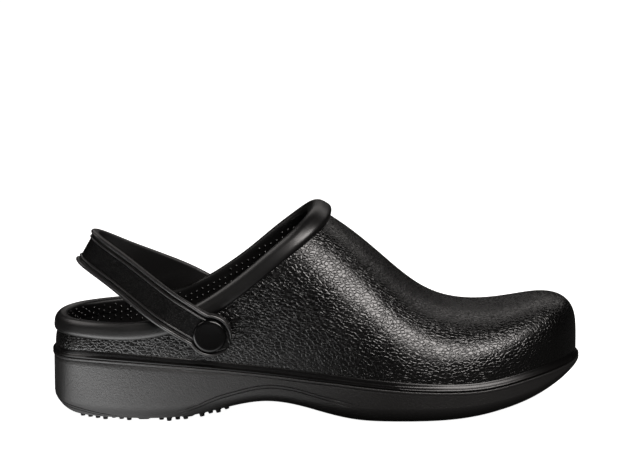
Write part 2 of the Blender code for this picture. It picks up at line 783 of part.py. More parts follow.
def make_rivet(side, name, group, finish):
    """A round-headed rivet, turned about Y: head outside the strap, shank through the wall and a flat tail inside."""
    strap_face = abs(strap_inner_face(side)) + STRAP_WEB
    inner_wall = abs(wall_at_rivet(side)) - WALL
    head = strap_face + GAP
    top = head + RIVET_HEAD_HEIGHT
    tail = inner_wall - GAP - 0.9
    profile = (
        # radius, distance from the shoe's middle plane
        (0.0, top),
        (0.62 * RIVET_HEAD_RADIUS, top - 0.12),
        (RIVET_HEAD_RADIUS - 1.1, top - 0.45),
        (RIVET_HEAD_RADIUS - 0.3, top - 0.95),
        (RIVET_HEAD_RADIUS, top - 1.7),
        (RIVET_HEAD_RADIUS, head),
        (RIVET_SHANK_RADIUS, head),
        (RIVET_SHANK_RADIUS, tail),
        (RIVET_TAIL_RADIUS, tail),
        (RIVET_TAIL_RADIUS - 0.5, tail - RIVET_TAIL_HEIGHT),
        (0.0, tail - RIVET_TAIL_HEIGHT),
    )
    mesh = bpy.data.meshes.new(name)
    points = [(radius * MM, 0.0, height * MM) for radius, height in profile]
    mesh.from_pydata(points, [(i, i + 1) for i in range(len(points) - 1)], [])
    rivet = bpy.data.objects.new(name, mesh)
    group.objects.link(rivet)
    mesh.materials.append(finish)
    turned = rivet.modifiers.new("turned", "SCREW")
    turned.axis = "Z"
    turned.angle = 2 * math.pi
    turned.steps = turned.render_steps = 20
    turned.use_merge_vertices = True
    turned.merge_threshold = 0.00001
    turned.use_smooth_shade = True
    rivet.rotation_euler = (math.radians(90 if side < 0 else -90), 0.0, 0.0)
    rivet.location = Vector(place([RIVET_SPOT[0], 0.0, RIVET_SPOT[2]]))
    return rivet


def lug_spots():
    """Centres of the outsole's lugs: staggered rows under the heel and the forefoot, one of them at the origin."""
    spots = []
    row_gap = LUG_PITCH * math.sqrt(3) / 2
    for row in range(-4, 30):
        x = HEEL_SEAT + row * row_gap
        shift = LUG_PITCH / 2 if row % 2 else 0.0
        under_heel = 12.0 < x < 84.0
        under_forefoot = 160.0 < x < 284.0
        if not (under_heel or under_forefoot):
            continue
        for k in range(-6, 7):
            y = k * LUG_PITCH + shift
            start = spine(x)
            offset = np.array([x, y]) - start
            reach = np.linalg.norm(offset)
            direction = offset / reach if reach > 1e-6 else np.array([0.0, 1.0])
            edge, normal = outline_hit(start, direction)
            room = (edge - np.array([x, y])) @ normal - roll_width(edge[0]) - 0.5 - GAP
            margin = LUG_MARGIN_FOREFOOT if under_forefoot else LUG_MARGIN_HEEL
            if room > LUG_RADIUS + margin:
                spots.append((x, y))
    return spots


def make_outsole(group, helpers, finish):
    """The rubber outsole: a plate in the sole's pocket with six-sided lugs, flat on the floor at heel and ball."""
    columns = [outsole_column(ray) for ray in rays(SIDE_STATIONS, HEEL_RAYS, TOE_RAYS)]
    outsole = loft("outsole", columns, group, finish, loop=False)
    points, faces = [], []
    for x, y in lug_spots():
        flat = underside_height(x) < LUG_HEIGHT + 0.7
        start = len(points)
        for below, radius in ((-LUG_SINK, LUG_RADIUS), (LUG_HEIGHT, LUG_RADIUS - 0.5)):
            for k in range(6):
                turn = math.pi * k / 3
                corner = x + radius * math.cos(turn)
                height = float(underside_height(corner)) - below
                on_floor = flat and below > 0
                points.append((corner, y + radius * math.sin(turn), 0.0 if on_floor else max(height, 0.0)))
        top, bottom = list(range(start, start + 6)), list(range(start + 6, start + 12))
        faces += [tuple(top), tuple(bottom)]
        faces += [(top[k], top[(k + 1) % 6], bottom[(k + 1) % 6], bottom[k]) for k in range(6)]
    lugs = add_mesh("lugs", place(points), faces, helpers)
    boolean(outsole, lugs, "UNION")
    return outsole


def main():
    for old in list(bpy.data.objects):
        bpy.data.objects.remove(old)
    group = collection("chef_clog")
    helpers = collection("cutters")
    foam = material("moulded_foam", (0.016, 0.016, 0.017), 0.45)
    sole_foam = material("sole_foam", (0.02, 0.02, 0.021), 0.5)
    rubber = material("outsole_rubber", (0.014, 0.014, 0.015), 0.7)
    lining = material("insole_foam", (0.018, 0.018, 0.019), 0.75)
    strap_foam = material("strap_foam", (0.016, 0.016, 0.017), 0.5)
    button = material("rivet_plastic", (0.012, 0.012, 0.013), 0.25)

    make_upper(group, helpers, foam)
    plan = rays(SIDE_STATIONS, HEEL_RAYS, TOE_RAYS)
    loft("sole", [sole_column(ray) for ray in plan], group, sole_foam, loop=False)
    loft("insole", [insole_column(ray) for ray in plan], group, lining, loop=False)
    make_outsole(group, helpers, rubber)
    make_strap(group, helpers, strap_foam)
    make_rivet(-1, "rivet_lateral", group, button)
    make_rivet(1, "rivet_medial", group, button)


main()
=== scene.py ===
"""The looks of a chef clog for the right foot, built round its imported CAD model.

Sizes are millimetres along the shoe from the back of the heel, placed as metres in the part's frame.
Each piece is worked out again from the same tables at a finer pitch, and stands for the solid of its name.
"""

import math

import bmesh
import bpy
import numpy as np
from mathutils import Matrix, Vector
from mathutils.bvhtree import BVHTree


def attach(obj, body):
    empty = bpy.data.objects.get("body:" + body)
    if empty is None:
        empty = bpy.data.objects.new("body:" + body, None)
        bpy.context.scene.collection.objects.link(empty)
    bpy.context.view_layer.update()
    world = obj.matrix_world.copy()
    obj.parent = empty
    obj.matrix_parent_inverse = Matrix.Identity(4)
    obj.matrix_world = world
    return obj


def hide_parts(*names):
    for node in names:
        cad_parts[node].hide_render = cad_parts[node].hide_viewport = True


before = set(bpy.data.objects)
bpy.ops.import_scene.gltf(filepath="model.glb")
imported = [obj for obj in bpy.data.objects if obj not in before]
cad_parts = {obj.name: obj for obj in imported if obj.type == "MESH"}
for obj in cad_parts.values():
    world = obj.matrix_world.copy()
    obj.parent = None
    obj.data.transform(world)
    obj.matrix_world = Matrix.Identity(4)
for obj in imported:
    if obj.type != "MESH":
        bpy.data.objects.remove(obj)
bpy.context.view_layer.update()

MM = 0.001
GAP = 0.3

# Driving sizes
LENGTH = 296.0
BALL_WIDTH = 108.0
HEEL_HEIGHT = 36.5
INSTEP_HEIGHT = 114.0
HEEL_SEAT = 40.0

# The last that the tables were drawn on
DRAWN_LENGTH = 296.0
DRAWN_WIDTH = 108.0
DRAWN_HEEL = 36.5
DRAWN_INSTEP = 114.0

# Walls, rims and rolls
WALL = 4.5
LEDGE_INSET = 1.7
LEDGE_CREASE = 0.3
LEDGE_TURNS = (190.0, 220.0)
TUCK_HEIGHT = 15.0
THROAT_BETWEEN = (120.0, 170.0)
COLLAR_THICKNESS = 6.8
COLLAR_DEPTH = 9.8
COLLAR_DEPTH_THROAT = 12.0
COLLAR_PROUD = 1.1
COLLAR_PROUD_THROAT = 3.8
RIM_SWELLS_WITHIN = 35.0
RIM_STEP_INSIDE = 0.3
RIM_STEP_THROAT = 0.5
RIM_ROUNDNESS_OVER = 1.9
RIM_ROUNDNESS_INSIDE = 4.5
RIM_ROUNDNESS_UNDER = 3.6
RIM_LINING_TURNS = (0.285, 0.75)
BEAD_HEIGHT = 1.1
BEAD_PROUD = 0.6
BEAD_FADES = (150.0, 200.0)
BEAD_LEFT_AT_TOE = 0.15
GROOVE_WIDTH = 0.35
NOTCH_DEPTH = 0.45
STEP_WIDTH = 1.7
ROLL_POWER = 1.8
ROLL_POWER_TOE = 1.5
ROLL_TURNS = (240.0, 296.0)
ROLL_LAND = 0.5
SEAM_GAP = 0.15
WELL_TOP_INSET = 7.4
WELL_FLOOR_INSET = 8.4
INSOLE_THICKNESS = 4.0
INSOLE_CUP = 2.2
INSOLE_CUP_FADES = (60.0, 170.0)
INSOLE_SHOULDER = 6.0
INSOLE_EDGE_DROP = 0.8
POCKET = 1.6

# Lugs and tread nubs under the sole
LUG_HEIGHT = 2.5
LUG_RADIUS = 5.2
LUG_CHAMFER = 0.5
LUG_PITCH = 14.0
LUG_LET_IN = 0.6
LUG_MARGIN_HEEL = 0.5
LUG_MARGIN_FOREFOOT = 8.0
LUGS_UNDER_HEEL = (12.0, 84.0)
LUGS_UNDER_FOREFOOT = (160.0, 284.0)
TREAD_PITCH = 5.2
TREAD_RADIUS = 1.7
TREAD_LET_IN = 0.5
TREAD_SHORTER = 0.1
TREAD_UNDER_HEEL = (9.0, 101.0)
TREAD_UNDER_FOREFOOT = (152.0, 288.0)
FLOOR_WITHIN = 0.7

# Nubs of the insole and the lining, as (foot radius, height)
FOOTBED_PITCH = 5.0
FOOTBED_NUB = (0.95, 0.8)
LINING_PITCH = 3.8
LINING_NUB = (0.85, 0.8)
LINING_ENDS = 206.0
NUB_LET_IN = 0.2

# Heel strap and rivets
STRAP_SLOPE = 30.7
STRAP_APEX = (22.2, 93.5)
STRAP_HALF_WIDTH = 10.2
STRAP_WEB = 2.6
STRAP_BEAD = 1.6
STRAP_RIB = 0.7
STRAP_END_RADIUS = 12.0
STRAP_PAD_RADIUS = 15.8
PANEL_INSET = 4.75
RIVET_REACH = 80.8
RIVET_HEAD_RADIUS = 9.1
RIVET_HEAD_HEIGHT = 2.8
RIVET_HEAD_ROUND = 1.5
RIVET_HEAD_DISH = 0.35
RIVET_SHANK_RADIUS = 3.5
RIVET_TAIL_RADIUS = 6.0
RIVET_TAIL_HEIGHT = 1.6
SEAT_RADIUS = 6.3

# How finely each piece is laid
MERGE = 0.00003
SIDE_STATIONS = 92
HEEL_RAYS = 59
TOE_RAYS = 83
DOME_ROWS = 40
DOME_ROW_CROWDING = 1.35
FINE_SAMPLES = 400
ROW_BEND = 14.0
COLLAR_HEEL_POINTS = 24
COLLAR_SIDE_POINTS = 90
COLLAR_EVEN_POINTS = 360
COLLAR_EVENING = 2.5
COLLAR_STATIONS = 380
COLLAR_SIDES = 44
STRAP_STATIONS = 60
STRAP_END_STATIONS = 16
STRAP_NECK_STATIONS = 26
PANEL_ROWS = 26
RIVET_SIDES = 96

# Camera, floor and light
CAMERA_ROUND_TO_TOE = 1.0
CAMERA_ABOVE = 13.5
CAMERA_ROLL = 1.03
CAMERA_DISTANCE = 1.2
CAMERA_AIM = (0.10871, 0.0, 0.04923)
CAMERA_SENSOR = 36.0
CAMERA_LENS = 122.08
CAMERA_SHIFT = (-0.00263, 0.13305)
FLOOR_GLOW = 1.0
FLOOR_BOUNCE = 0.008
HEEL_SIDE_GLOW = 7.3
HEEL_SIDE_PATCH = (-0.105, -0.10, 0.0)
HEEL_SIDE_PATCH_REACH = (0.23, 0.10, 1.0)
STUDIO_DIMNESS = 0.006
WHITE = (1.0, 1.0, 1.0, 1.0)
WARM_WHITE = (1.0, 0.955, 0.93)
BOX_DISTANCE = 1.3
SHOE_MIDDLE = Vector((0.1, 0.0, 0.045))
SOFT_BOXES = (
    # name, degrees round from the camera towards the toe, degrees up, size, watts
    ("key", 28.0, 42.0, (1.0, 0.55), 25.5),
    ("low_heel_side", -62.0, 7.0, (0.5, 0.35), 0.6),
    ("high_heel_side", -100.0, 48.0, (0.8, 0.5), 4.0),
    ("behind", 165.0, 35.0, (1.4, 0.5), 2.0),
)

# The sole's outline seen from above, from the back of the heel round the lateral side
OUTLINE = (
    # along, across
    (0.0, 0.0),
    (2.2, -14.0),
    (8.5, -25.5),
    (21.0, -33.5),
    (42.0, -38.5),
    (95.0, -40.0),
    (145.0, -46.5),
    (192.0, -54.5),
    (235.0, -51.5),
    (270.0, -35.0),
    (290.5, -12.5),
    (296.4, 8.0),
    (286.5, 32.5),
    (262.0, 48.0),
    (225.0, 53.5),
    (180.0, 49.0),
    (135.0, 41.5),
    (90.0, 39.0),
    (42.0, 38.5),
    (21.0, 33.5),
    (8.5, 25.5),
    (2.2, 14.0),
)

# Heights of the upper along the shoe. The ridge behind the throat only shapes the walls that the collar cuts.
UPPER_ROWS = (
    # along, seam, ledge height, ridge, squareness of the section
    (0.0, 36.2, 4.0, 110.0, 2.2),
    (20.0, 37.2, 4.4, 116.0, 2.2),
    (45.0, 36.3, 4.6, 121.5, 2.2),
    (75.0, 33.6, 4.6, 125.5, 2.25),
    (105.0, 30.6, 4.6, 126.0, 2.4),
    (130.0, 28.3, 4.6, 121.5, 2.7),
    (148.0, 26.5, 4.6, 113.4, 2.8),
    (160.0, 25.5, 4.6, 106.0, 2.65),
    (174.0, 24.1, 4.6, 95.3, 2.5),
    (185.0, 23.2, 4.6, 85.5, 2.45),
    (196.0, 22.3, 4.5, 75.5, 2.4),
    (208.0, 21.5, 4.4, 66.2, 2.45),
    (221.0, 20.9, 4.3, 59.9, 2.6),
    (235.0, 20.7, 4.3, 57.1, 2.8),
    (250.0, 21.7, 4.3, 57.0, 3.1),
    (264.0, 23.6, 4.3, 59.5, 3.5),
    (278.0, 25.3, 4.4, 63.1, 4.0),
    (288.0, 26.2, 4.4, 64.7, 4.4),
    (296.0, 26.6, 4.4, 64.6, 4.6),
)

# How far the wall round the heel leans in by the height of the collar
TUCK_ROWS = (
    # along, inwards
    (0.0, 1.8),
    (6.0, 3.4),
    (14.0, 3.9),
    (22.0, 3.2),
    (32.0, 2.0),
    (45.0, 0.9),
    (60.0, 0.0),
)

# Heights and rolled edge of the sole along the shoe
SOLE_ROWS = (
    # along, footbed, underside, roll width, roll height, step height, step depth
    (0.0, 31.0, 2.5, 10.8, 10.8, 9.0, 0.3),
    (14.0, 30.3, 2.5, 9.7, 9.7, 7.0, 0.5),
    (40.0, 29.2, 2.5, 9.0, 8.5, 2.6, 0.3),
    (68.0, 28.3, 2.8, 8.5, 8.5, 4.0, 0.1),
    (86.0, 27.4, 5.1, 8.0, 8.0, 8.0, 0.5),
    (104.0, 25.5, 9.7, 7.0, 6.5, 7.5, 0.8),
    (120.0, 23.2, 12.4, 6.5, 6.0, 7.0, 0.8),
    (137.0, 20.4, 10.8, 7.0, 6.5, 6.7, 0.8),
    (153.0, 17.6, 6.8, 8.0, 8.0, 5.8, 0.5),
    (172.0, 15.6, 3.2, 9.5, 9.5, 5.0, 0.0),
    (190.0, 14.6, 2.6, 10.0, 10.0, 5.0, 0.0),
    (206.0, 14.4, 2.6, 10.5, 10.0, 5.0, 0.0),
    (228.0, 15.4, 3.3, 11.0, 9.5, 5.0, 0.0),
    (250.0, 17.6, 5.8, 12.5, 9.5, 5.0, 0.0),
    (270.0, 20.8, 9.8, 15.0, 10.5, 4.5, 0.0),
    (284.0, 23.2, 13.8, 18.0, 13.0, 4.0, 0.0),
    (296.0, 25.0, 17.6, 22.0, 15.0, 3.5, 0.0),
)

# The wall's cut edge seen from the side, which the collar is rolled round
COLLAR_ROWS = (
    # along, height
    (-9.0, 52.8),
    (1.0, 52.6),
    (13.0, 52.4),
    (27.0, 52.4),
    (41.0, 52.5),
    (51.0, 53.0),
    (61.0, 54.5),
    (72.0, 57.3),
    (83.0, 61.5),
    (93.0, 67.0),
    (104.0, 74.2),
    (114.5, 82.0),
    (129.5, 94.3),
    (142.6, 104.4),
    (150.0, 110.6),
)

# The middle of the strap in its own sloping plane, from the apex behind the heel to the end past the rivet
STRAP_ROWS = (
    # along the slope, half width, outward lean of the lower edge in degrees
    (0.0, 0.0, 0.0),
    (1.6, 5.0, 0.0),
    (6.5, 9.6, 2.0),
    (18.0, 16.2, 4.0),
    (31.5, 25.8, 8.0),
    (40.5, 32.6, 11.0),
    (48.5, 38.0, 12.5),
    (56.5, 41.8, 12.5),
    (63.5, 43.0, 8.0),
    (70.5, 43.1, 0.0),
    (79.5, 43.0, 0.0),
    (88.5, 43.0, 0.0),
    (98.0, 43.0, 0.0),
)

# The ledge from its foot up, where it stands steep at the heel and the arch
LEDGE_STEEP = (
    # inset, share of the ledge's height
    (0.10, 0.24),
    (0.45, 0.29),
    (0.90, 0.34),
    (1.35, 0.39),
    (1.62, 0.46),
    (1.70, 0.62),
    (LEDGE_INSET + 0.10, 0.86),
    (LEDGE_INSET + LEDGE_CREASE, 0.93),
    (LEDGE_INSET + 0.6 * LEDGE_CREASE, 0.98),
)

# The same rows where it leans back round the toe
LEDGE_LEANING = (
    # inset, share of the ledge's height
    (0.12, 0.28),
    (0.40, 0.36),
    (0.75, 0.44),
    (1.10, 0.54),
    (1.42, 0.66),
    (1.66, 0.78),
    (LEDGE_INSET + 0.12, 0.90),
    (LEDGE_INSET + LEDGE_CREASE, 0.95),
    (LEDGE_INSET + 0.6 * LEDGE_CREASE, 0.98),
)

# How far the step in the sole's side sweeps up over the arch
STEP_RISE_ROWS = (
    # along, upwards
    (84.0, 0.0),
    (94.0, 1.6),
    (121.0, 4.1),
    (156.0, 6.3),
)


def natural_spline(knots, values):
    """A function through the knots with continuous curvature, straight beyond the ends."""
    knots = np.asarray(knots, float)
    values = np.asarray(values, float)
    count = len(knots)
    step = np.diff(knots)
    slope = np.diff(values) / step
    system = np.eye(count)
    right = np.zeros(count)
    for i in range(1, count - 1):
        system[i, i - 1 : i + 2] = step[i - 1], 2 * (step[i - 1] + step[i]), step[i]
        right[i] = 6 * (slope[i] - slope[i - 1])
    bend = np.linalg.solve(system, right)

    def value(x):
        x = np.asarray(x, float)
        inside = np.clip(x, knots[0], knots[-1])
        i = np.clip(np.searchsorted(knots, inside) - 1, 0, count - 2)
        a = (knots[i + 1] - inside) / step[i]
        b = 1 - a
        curve = (a**3 - a) * bend[i] + (b**3 - b) * bend[i + 1]
        result = a * values[i] + b * values[i + 1] + curve * step[i] ** 2 / 6
        first = slope[0] - step[0] * bend[1] / 6
        last = slope[-1] + step[-1] * bend[-2] / 6
        return result + first * np.minimum(x - knots[0], 0) + last * np.maximum(x - knots[-1], 0)

    return value


def column_of(rows, index, scale=1.0, along_scale=LENGTH / DRAWN_LENGTH):
    """One column of a table as a function of the distance along the shoe."""
    table = np.array(rows)
    return natural_spline(table[:, 0] * along_scale, table[:, index] * scale)


HEEL_SCALE = HEEL_HEIGHT / DRAWN_HEEL
INSTEP_SCALE = INSTEP_HEIGHT / DRAWN_INSTEP
WIDTH_SCALE = BALL_WIDTH / DRAWN_WIDTH
LENGTH_SCALE = LENGTH / DRAWN_LENGTH

seam_height = column_of(UPPER_ROWS, 1, HEEL_SCALE)
ledge_height = column_of(UPPER_ROWS, 2)
ridge_height = column_of(UPPER_ROWS, 3, INSTEP_SCALE)
squareness = column_of(UPPER_ROWS, 4)
footbed_height = column_of(SOLE_ROWS, 1, HEEL_SCALE)
underside_height = column_of(SOLE_ROWS, 2, HEEL_SCALE)
roll_width = column_of(SOLE_ROWS, 3)
roll_height = column_of(SOLE_ROWS, 4)
step_height = column_of(SOLE_ROWS, 5)
step_depth = column_of(SOLE_ROWS, 6)
collar_height = column_of(COLLAR_ROWS, 1, INSTEP_SCALE)


def ramp(value, start, end):
    """The share of the way from start to end, held between 0 and 1."""
    return np.clip((value - start) / (end - start), 0, 1)


def unit(vector):
    """The vector at a length of 1."""
    return vector / np.linalg.norm(vector)


def direction_at(degrees):
    """The direction at this angle, seen from above."""
    turn = math.radians(degrees)
    return np.array([math.cos(turn), math.sin(turn)])


def turns_round(count):
    """Evenly spaced angles once round."""
    return np.linspace(0, 2 * math.pi, count, endpoint=False)


def distance_along(line):
    """How far each point of a line lies from its start."""
    return np.concatenate([[0.0], np.cumsum(np.linalg.norm(np.diff(line, axis=0), axis=1))])


def closed_spline(points, samples):
    """A smooth closed curve through the points, as evenly spaced samples."""
    laps = 3
    ring = np.array(points * laps + (points[0],), float)
    reach = distance_along(ring)
    lap = reach[len(points)]
    fine = np.linspace(lap, 2 * lap, 8 * samples + 1)
    curve = np.stack([natural_spline(reach, ring[:, k])(fine) for k in (0, 1)], axis=1)
    return resample(curve, samples + 1)[:-1]


def resample(points, count, bend=0.0):
    """The polyline redrawn with this many points, closer together where it turns if bend is more than 0."""
    points = np.asarray(points, float)
    step = np.diff(points, axis=0)
    length = np.linalg.norm(step, axis=1)
    unit = step / np.maximum(length, 1e-9)[:, None]
    turn = np.arccos(np.clip((unit[1:] * unit[:-1]).sum(axis=1), -1, 1))
    weight = length.copy()
    weight[:-1] += bend * turn / 2
    weight[1:] += bend * turn / 2
    reach = np.concatenate([[0.0], np.cumsum(weight)])
    wanted = np.linspace(0, reach[-1], count)
    return np.stack([np.interp(wanted, reach, points[:, k]) for k in range(points.shape[1])], axis=1)


SCALED_OUTLINE = tuple((x * LENGTH_SCALE, y * WIDTH_SCALE) for x, y in OUTLINE)
OUTLINE_CURVE = closed_spline(SCALED_OUTLINE, 720)

HEEL_POLE = np.array([40.0 * LENGTH_SCALE, 0.0])
TOE_POLE = np.array([236.0 * LENGTH_SCALE, 1.5])


def spine(x):
    """The line down the middle that every column runs up to."""
    return HEEL_POLE + (TOE_POLE - HEEL_POLE) * ramp(x, HEEL_POLE[0], TOE_POLE[0])


def rays(stations, heel_rays, toe_rays):
    """Where each column starts on the spine and its direction, once round from the back of the heel."""
    half_heel = np.linspace(180, 270, heel_rays // 2 + 2)[:-1]
    half_toe = np.linspace(-90, 0, toe_rays // 2 + 2)[1:]
    lateral = [(HEEL_POLE, angle) for angle in half_heel]
    lateral += [(spine(x), 270) for x in np.linspace(HEEL_POLE[0], TOE_POLE[0], stations)]
    lateral += [(TOE_POLE, angle) for angle in half_toe]
    medial = [(start, -angle) for start, angle in lateral[1:-1]][::-1]
    return [(start, direction_at(angle)) for start, angle in lateral + medial]


def outline_hit(start, direction):
    """Where a ray from the spine meets the sole's outline, and the outline's outward normal there."""
    offset = OUTLINE_CURVE - start
    side = offset[:, 0] * direction[1] - offset[:, 1] * direction[0]
    ahead = offset @ direction > 0
    following = np.roll(side, -1)
    crossing = np.where((side * following <= 0) & ahead & np.roll(ahead, -1))[0][0]
    nearer = OUTLINE_CURVE[crossing]
    further = OUTLINE_CURVE[(crossing + 1) % len(OUTLINE_CURVE)]
    share = side[crossing] / (side[crossing] - following[crossing])
    tangent = unit(OUTLINE_CURVE[(crossing + 5) % len(OUTLINE_CURVE)] - OUTLINE_CURVE[crossing - 4])
    return nearer + (further - nearer) * share, np.array([tangent[1], -tangent[0]])


def dome_line(ray, inset, drop, samples=90):
    """One column of the last's surface, from the ledge up to the spine, as a fine polyline."""
    start, direction = ray
    edge, normal = outline_hit(start, direction)
    foot = edge - normal * inset
    base = seam_height(edge[0]) + ledge_height(edge[0])
    power = 2 / squareness(edge[0])
    angle = np.linspace(0, math.pi / 2, samples) ** DOME_ROW_CROWDING
    angle *= (math.pi / 2) / angle[-1]
    out = np.cos(angle) ** power
    up = np.sin(angle) ** power
    out[-1] = 0.0
    spots = start + (foot - start) * out[:, None]
    height = base + (ridge_height(spots[:, 0]) - drop - base) * up
    tuck = np.interp(edge[0], *np.array(TUCK_ROWS).T)
    risen = ramp(height, base, base + TUCK_HEIGHT)
    spots -= normal * (tuck * risen * risen * (3 - 2 * risen) * out**0.5)[:, None]
    return np.column_stack([spots, height])


def sole_rim(edge, normal):
    """Where the sole's rolled edge ends and its underside starts."""
    rim = edge - normal * (roll_width(edge[0]) + ROLL_LAND)
    return rim, float(underside_height(rim[0]))


def insole_column(ray):
    """A column of the insole, whose edge is cupped up against the wall."""
    start, direction = ray
    edge, normal = outline_hit(start, direction)
    rim = edge - normal * (WELL_FLOOR_INSET + GAP)
    shoulder = rim - normal * INSOLE_SHOULDER
    middle = (rim + start) / 2
    cup = INSOLE_CUP * (1 - ramp(edge[0], *INSOLE_CUP_FADES))
    top = [(start, 0.0), (middle, 0.0), (shoulder, 0.2 * cup), (rim, cup - INSOLE_EDGE_DROP)]
    column = [[*spot, footbed_height(spot[0]) + GAP + INSOLE_THICKNESS + lift] for spot, lift in top]
    column += [[*spot, footbed_height(spot[0]) + GAP] for spot in (rim, middle, start)]
    return np.array(column)


def wall_middle(start, angle):
    """A column of the surface halfway through the upper's wall, at this angle seen from above."""
    return dome_line((start, direction_at(angle)), LEDGE_INSET + WALL / 2, WALL / 2, FINE_SAMPLES)


def find_throat():
    """Where the collar's line meets the ridge, by halving."""
    low, high = (x * LENGTH_SCALE for x in THROAT_BETWEEN)
    for _ in range(40):
        middle = (low + high) / 2
        if collar_height(middle) < ridge_height(middle) - WALL / 2:
            low = middle
        else:
            high = middle
    return low


def collar_point(start, angle, side):
    """A point of the collar's line on one side of the shoe, and the wall's outward normal there."""
    line = wall_middle(start, -side * angle)
    above = line[:, 2] - collar_height(line[:, 0])
    i = np.where(above >= 0)[0][0]
    share = above[i - 1] / (above[i - 1] - above[i])
    point = line[i - 1] + (line[i] - line[i - 1]) * share
    if angle == 270.0:
        ahead, behind = (wall_middle(spine(start[0] + step), -side * angle) for step in (2.0, -2.0))
    else:
        ahead, behind = (wall_middle(start, -side * (angle + step)) for step in (3.0, -3.0))
    rising = line[min(i + 8, len(line) - 1)] - line[i - 8]
    return [*point, *unit(side * np.cross(rising, ahead[i] - behind[i]))]


def collar_path():
    """The closed line along the middle of the wall's cut edge, with the wall's outward normal at each point.

    Both are evened out a little, so that the rolled rim runs smoothly round the throat.
    """
    throat = find_throat()
    back = [(HEEL_POLE, angle) for angle in np.linspace(180, 270, COLLAR_HEEL_POINTS)[:-1]]
    crowding = np.linspace(1, 0, COLLAR_SIDE_POINTS)[:-1] ** 1.8
    back += [(spine(x), 270.0) for x in throat - (throat - HEEL_POLE[0]) * crowding]
    lateral = [collar_point(start, angle, -1) for start, angle in back]
    medial = [collar_point(start, angle, 1) for start, angle in back[1:]]
    fall = ridge_height(throat - 0.5) - ridge_height(throat + 0.5)
    normal = unit(np.array([fall, 0.0, 1.0]))
    top = [[throat, spine(throat)[1], ridge_height(throat) - WALL / 2, *normal]]
    loop = np.vstack([lateral, top, medial[::-1], lateral[:1]])
    even = resample(loop, COLLAR_EVEN_POINTS + 1)[:-1]
    steps = np.arange(-6, 7)
    weights = np.exp(-0.5 * (steps / COLLAR_EVENING) ** 2)
    weights /= weights.sum()
    smooth = sum(weight * np.roll(even, step, axis=0) for weight, step in zip(weights, steps))
    return resample(np.vstack([smooth, smooth[:1]]), COLLAR_STATIONS + 1)[:-1]


def place(points):
    """Shoe millimetres, measured from the back of the heel, as metres in the part's frame."""
    moved = np.asarray(points, float) * MM
    moved[..., 0] -= HEEL_SEAT * MM
    return moved


def shoe_spot(spot):
    """A point of the frame in shoe millimetres."""
    return np.array(spot) / MM + (HEEL_SEAT, 0, 0)


def strap_point(reach, across, height):
    """A point of the strap in shoe millimetres, from its own sloping plane."""
    slope = math.radians(STRAP_SLOPE)
    x = STRAP_APEX[0] + reach * math.cos(slope) + height * math.sin(slope)
    z = STRAP_APEX[1] - reach * math.sin(slope) + height * math.cos(slope)
    return [x, across, z]


RIVET_SPOT = strap_point(RIVET_REACH, 0.0, 0.0)


def wall_at_rivet(side):
    """Y of the upper's outer face at the rivet."""
    ray = (spine(RIVET_SPOT[0]), np.array([0.0, float(side)]))
    line = dome_line(ray, LEDGE_INSET, 0.0)
    return float(np.interp(RIVET_SPOT[2], line[:, 2], line[:, 1]))


def strap_inner_face(side):
    """Y of the strap's inner face at the rivet."""
    table = np.array(STRAP_ROWS)
    half = float(natural_spline(table[1:, 0], table[1:, 1])(RIVET_REACH))
    return side * (half - STRAP_WEB / 2)


def strap_centre_line():
    """The strap's middle line in its own plane, from the lateral end round the back to the medial end."""
    table = np.array(STRAP_ROWS)
    half = np.vstack([table[::-1] * (1, -1, 1), table[1:]])
    reach = distance_along(half[:, :2])
    fine = np.linspace(0, reach[-1], 800)
    along, across = (natural_spline(reach, half[:, k])(fine) for k in (0, 1))
    return np.column_stack([along, across, np.interp(fine, reach, half[:, 2])])


def room_to_edge(x, y):
    """How far a point lies inside the sole's outline, and the spot of the outline that it faces."""
    start = spine(x)
    offset = np.array([x, y]) - start
    reach = np.linalg.norm(offset)
    direction = offset / reach if reach > 1e-6 else np.array([0.0, 1.0])
    edge, normal = outline_hit(start, direction)
    return float((edge - np.array([x, y])) @ normal), edge


def staggered(pitch, first, across, behind=0):
    """Spots in staggered rows a pitch apart, from some rows behind first up to the toe."""
    row_gap = pitch * math.sqrt(3) / 2
    for row in range(-behind, int(LENGTH / row_gap)):
        for step in range(-across, across + 1):
            yield first + row * row_gap, (step + 0.5 * (row % 2)) * pitch


def within(x, span):
    return span[0] < x < span[1]


def lug_spots():
    """Centres of the outsole's lugs: staggered rows under heel and forefoot, one of them at the origin."""
    spots = []
    for x, y in staggered(LUG_PITCH, HEEL_SEAT, 6, behind=4):
        under_forefoot = within(x, LUGS_UNDER_FOREFOOT)
        if not (under_forefoot or within(x, LUGS_UNDER_HEEL)):
            continue
        room, edge = room_to_edge(x, y)
        room -= roll_width(edge[0]) + ROLL_LAND + GAP
        margin = LUG_MARGIN_FOREFOOT if under_forefoot else LUG_MARGIN_HEEL
        if room > LUG_RADIUS + margin:
            spots.append((x, y))
    return spots


# Making meshes


def new_mesh_object(name, mesh):
    made = bpy.data.objects.new(name, mesh)
    bpy.context.scene.collection.objects.link(made)
    return made


def tidy_mesh(mesh, sharp_angle=40):
    """Joins doubled points, turns the faces outwards and shades them smooth but for sharp edges."""
    work = bmesh.new()
    work.from_mesh(mesh)
    bmesh.ops.remove_doubles(work, verts=work.verts, dist=MERGE)
    bmesh.ops.recalc_face_normals(work, faces=work.faces)
    work.to_mesh(mesh)
    work.free()
    mesh.shade_smooth()
    mesh.set_sharp_from_angle(angle=math.radians(sharp_angle))


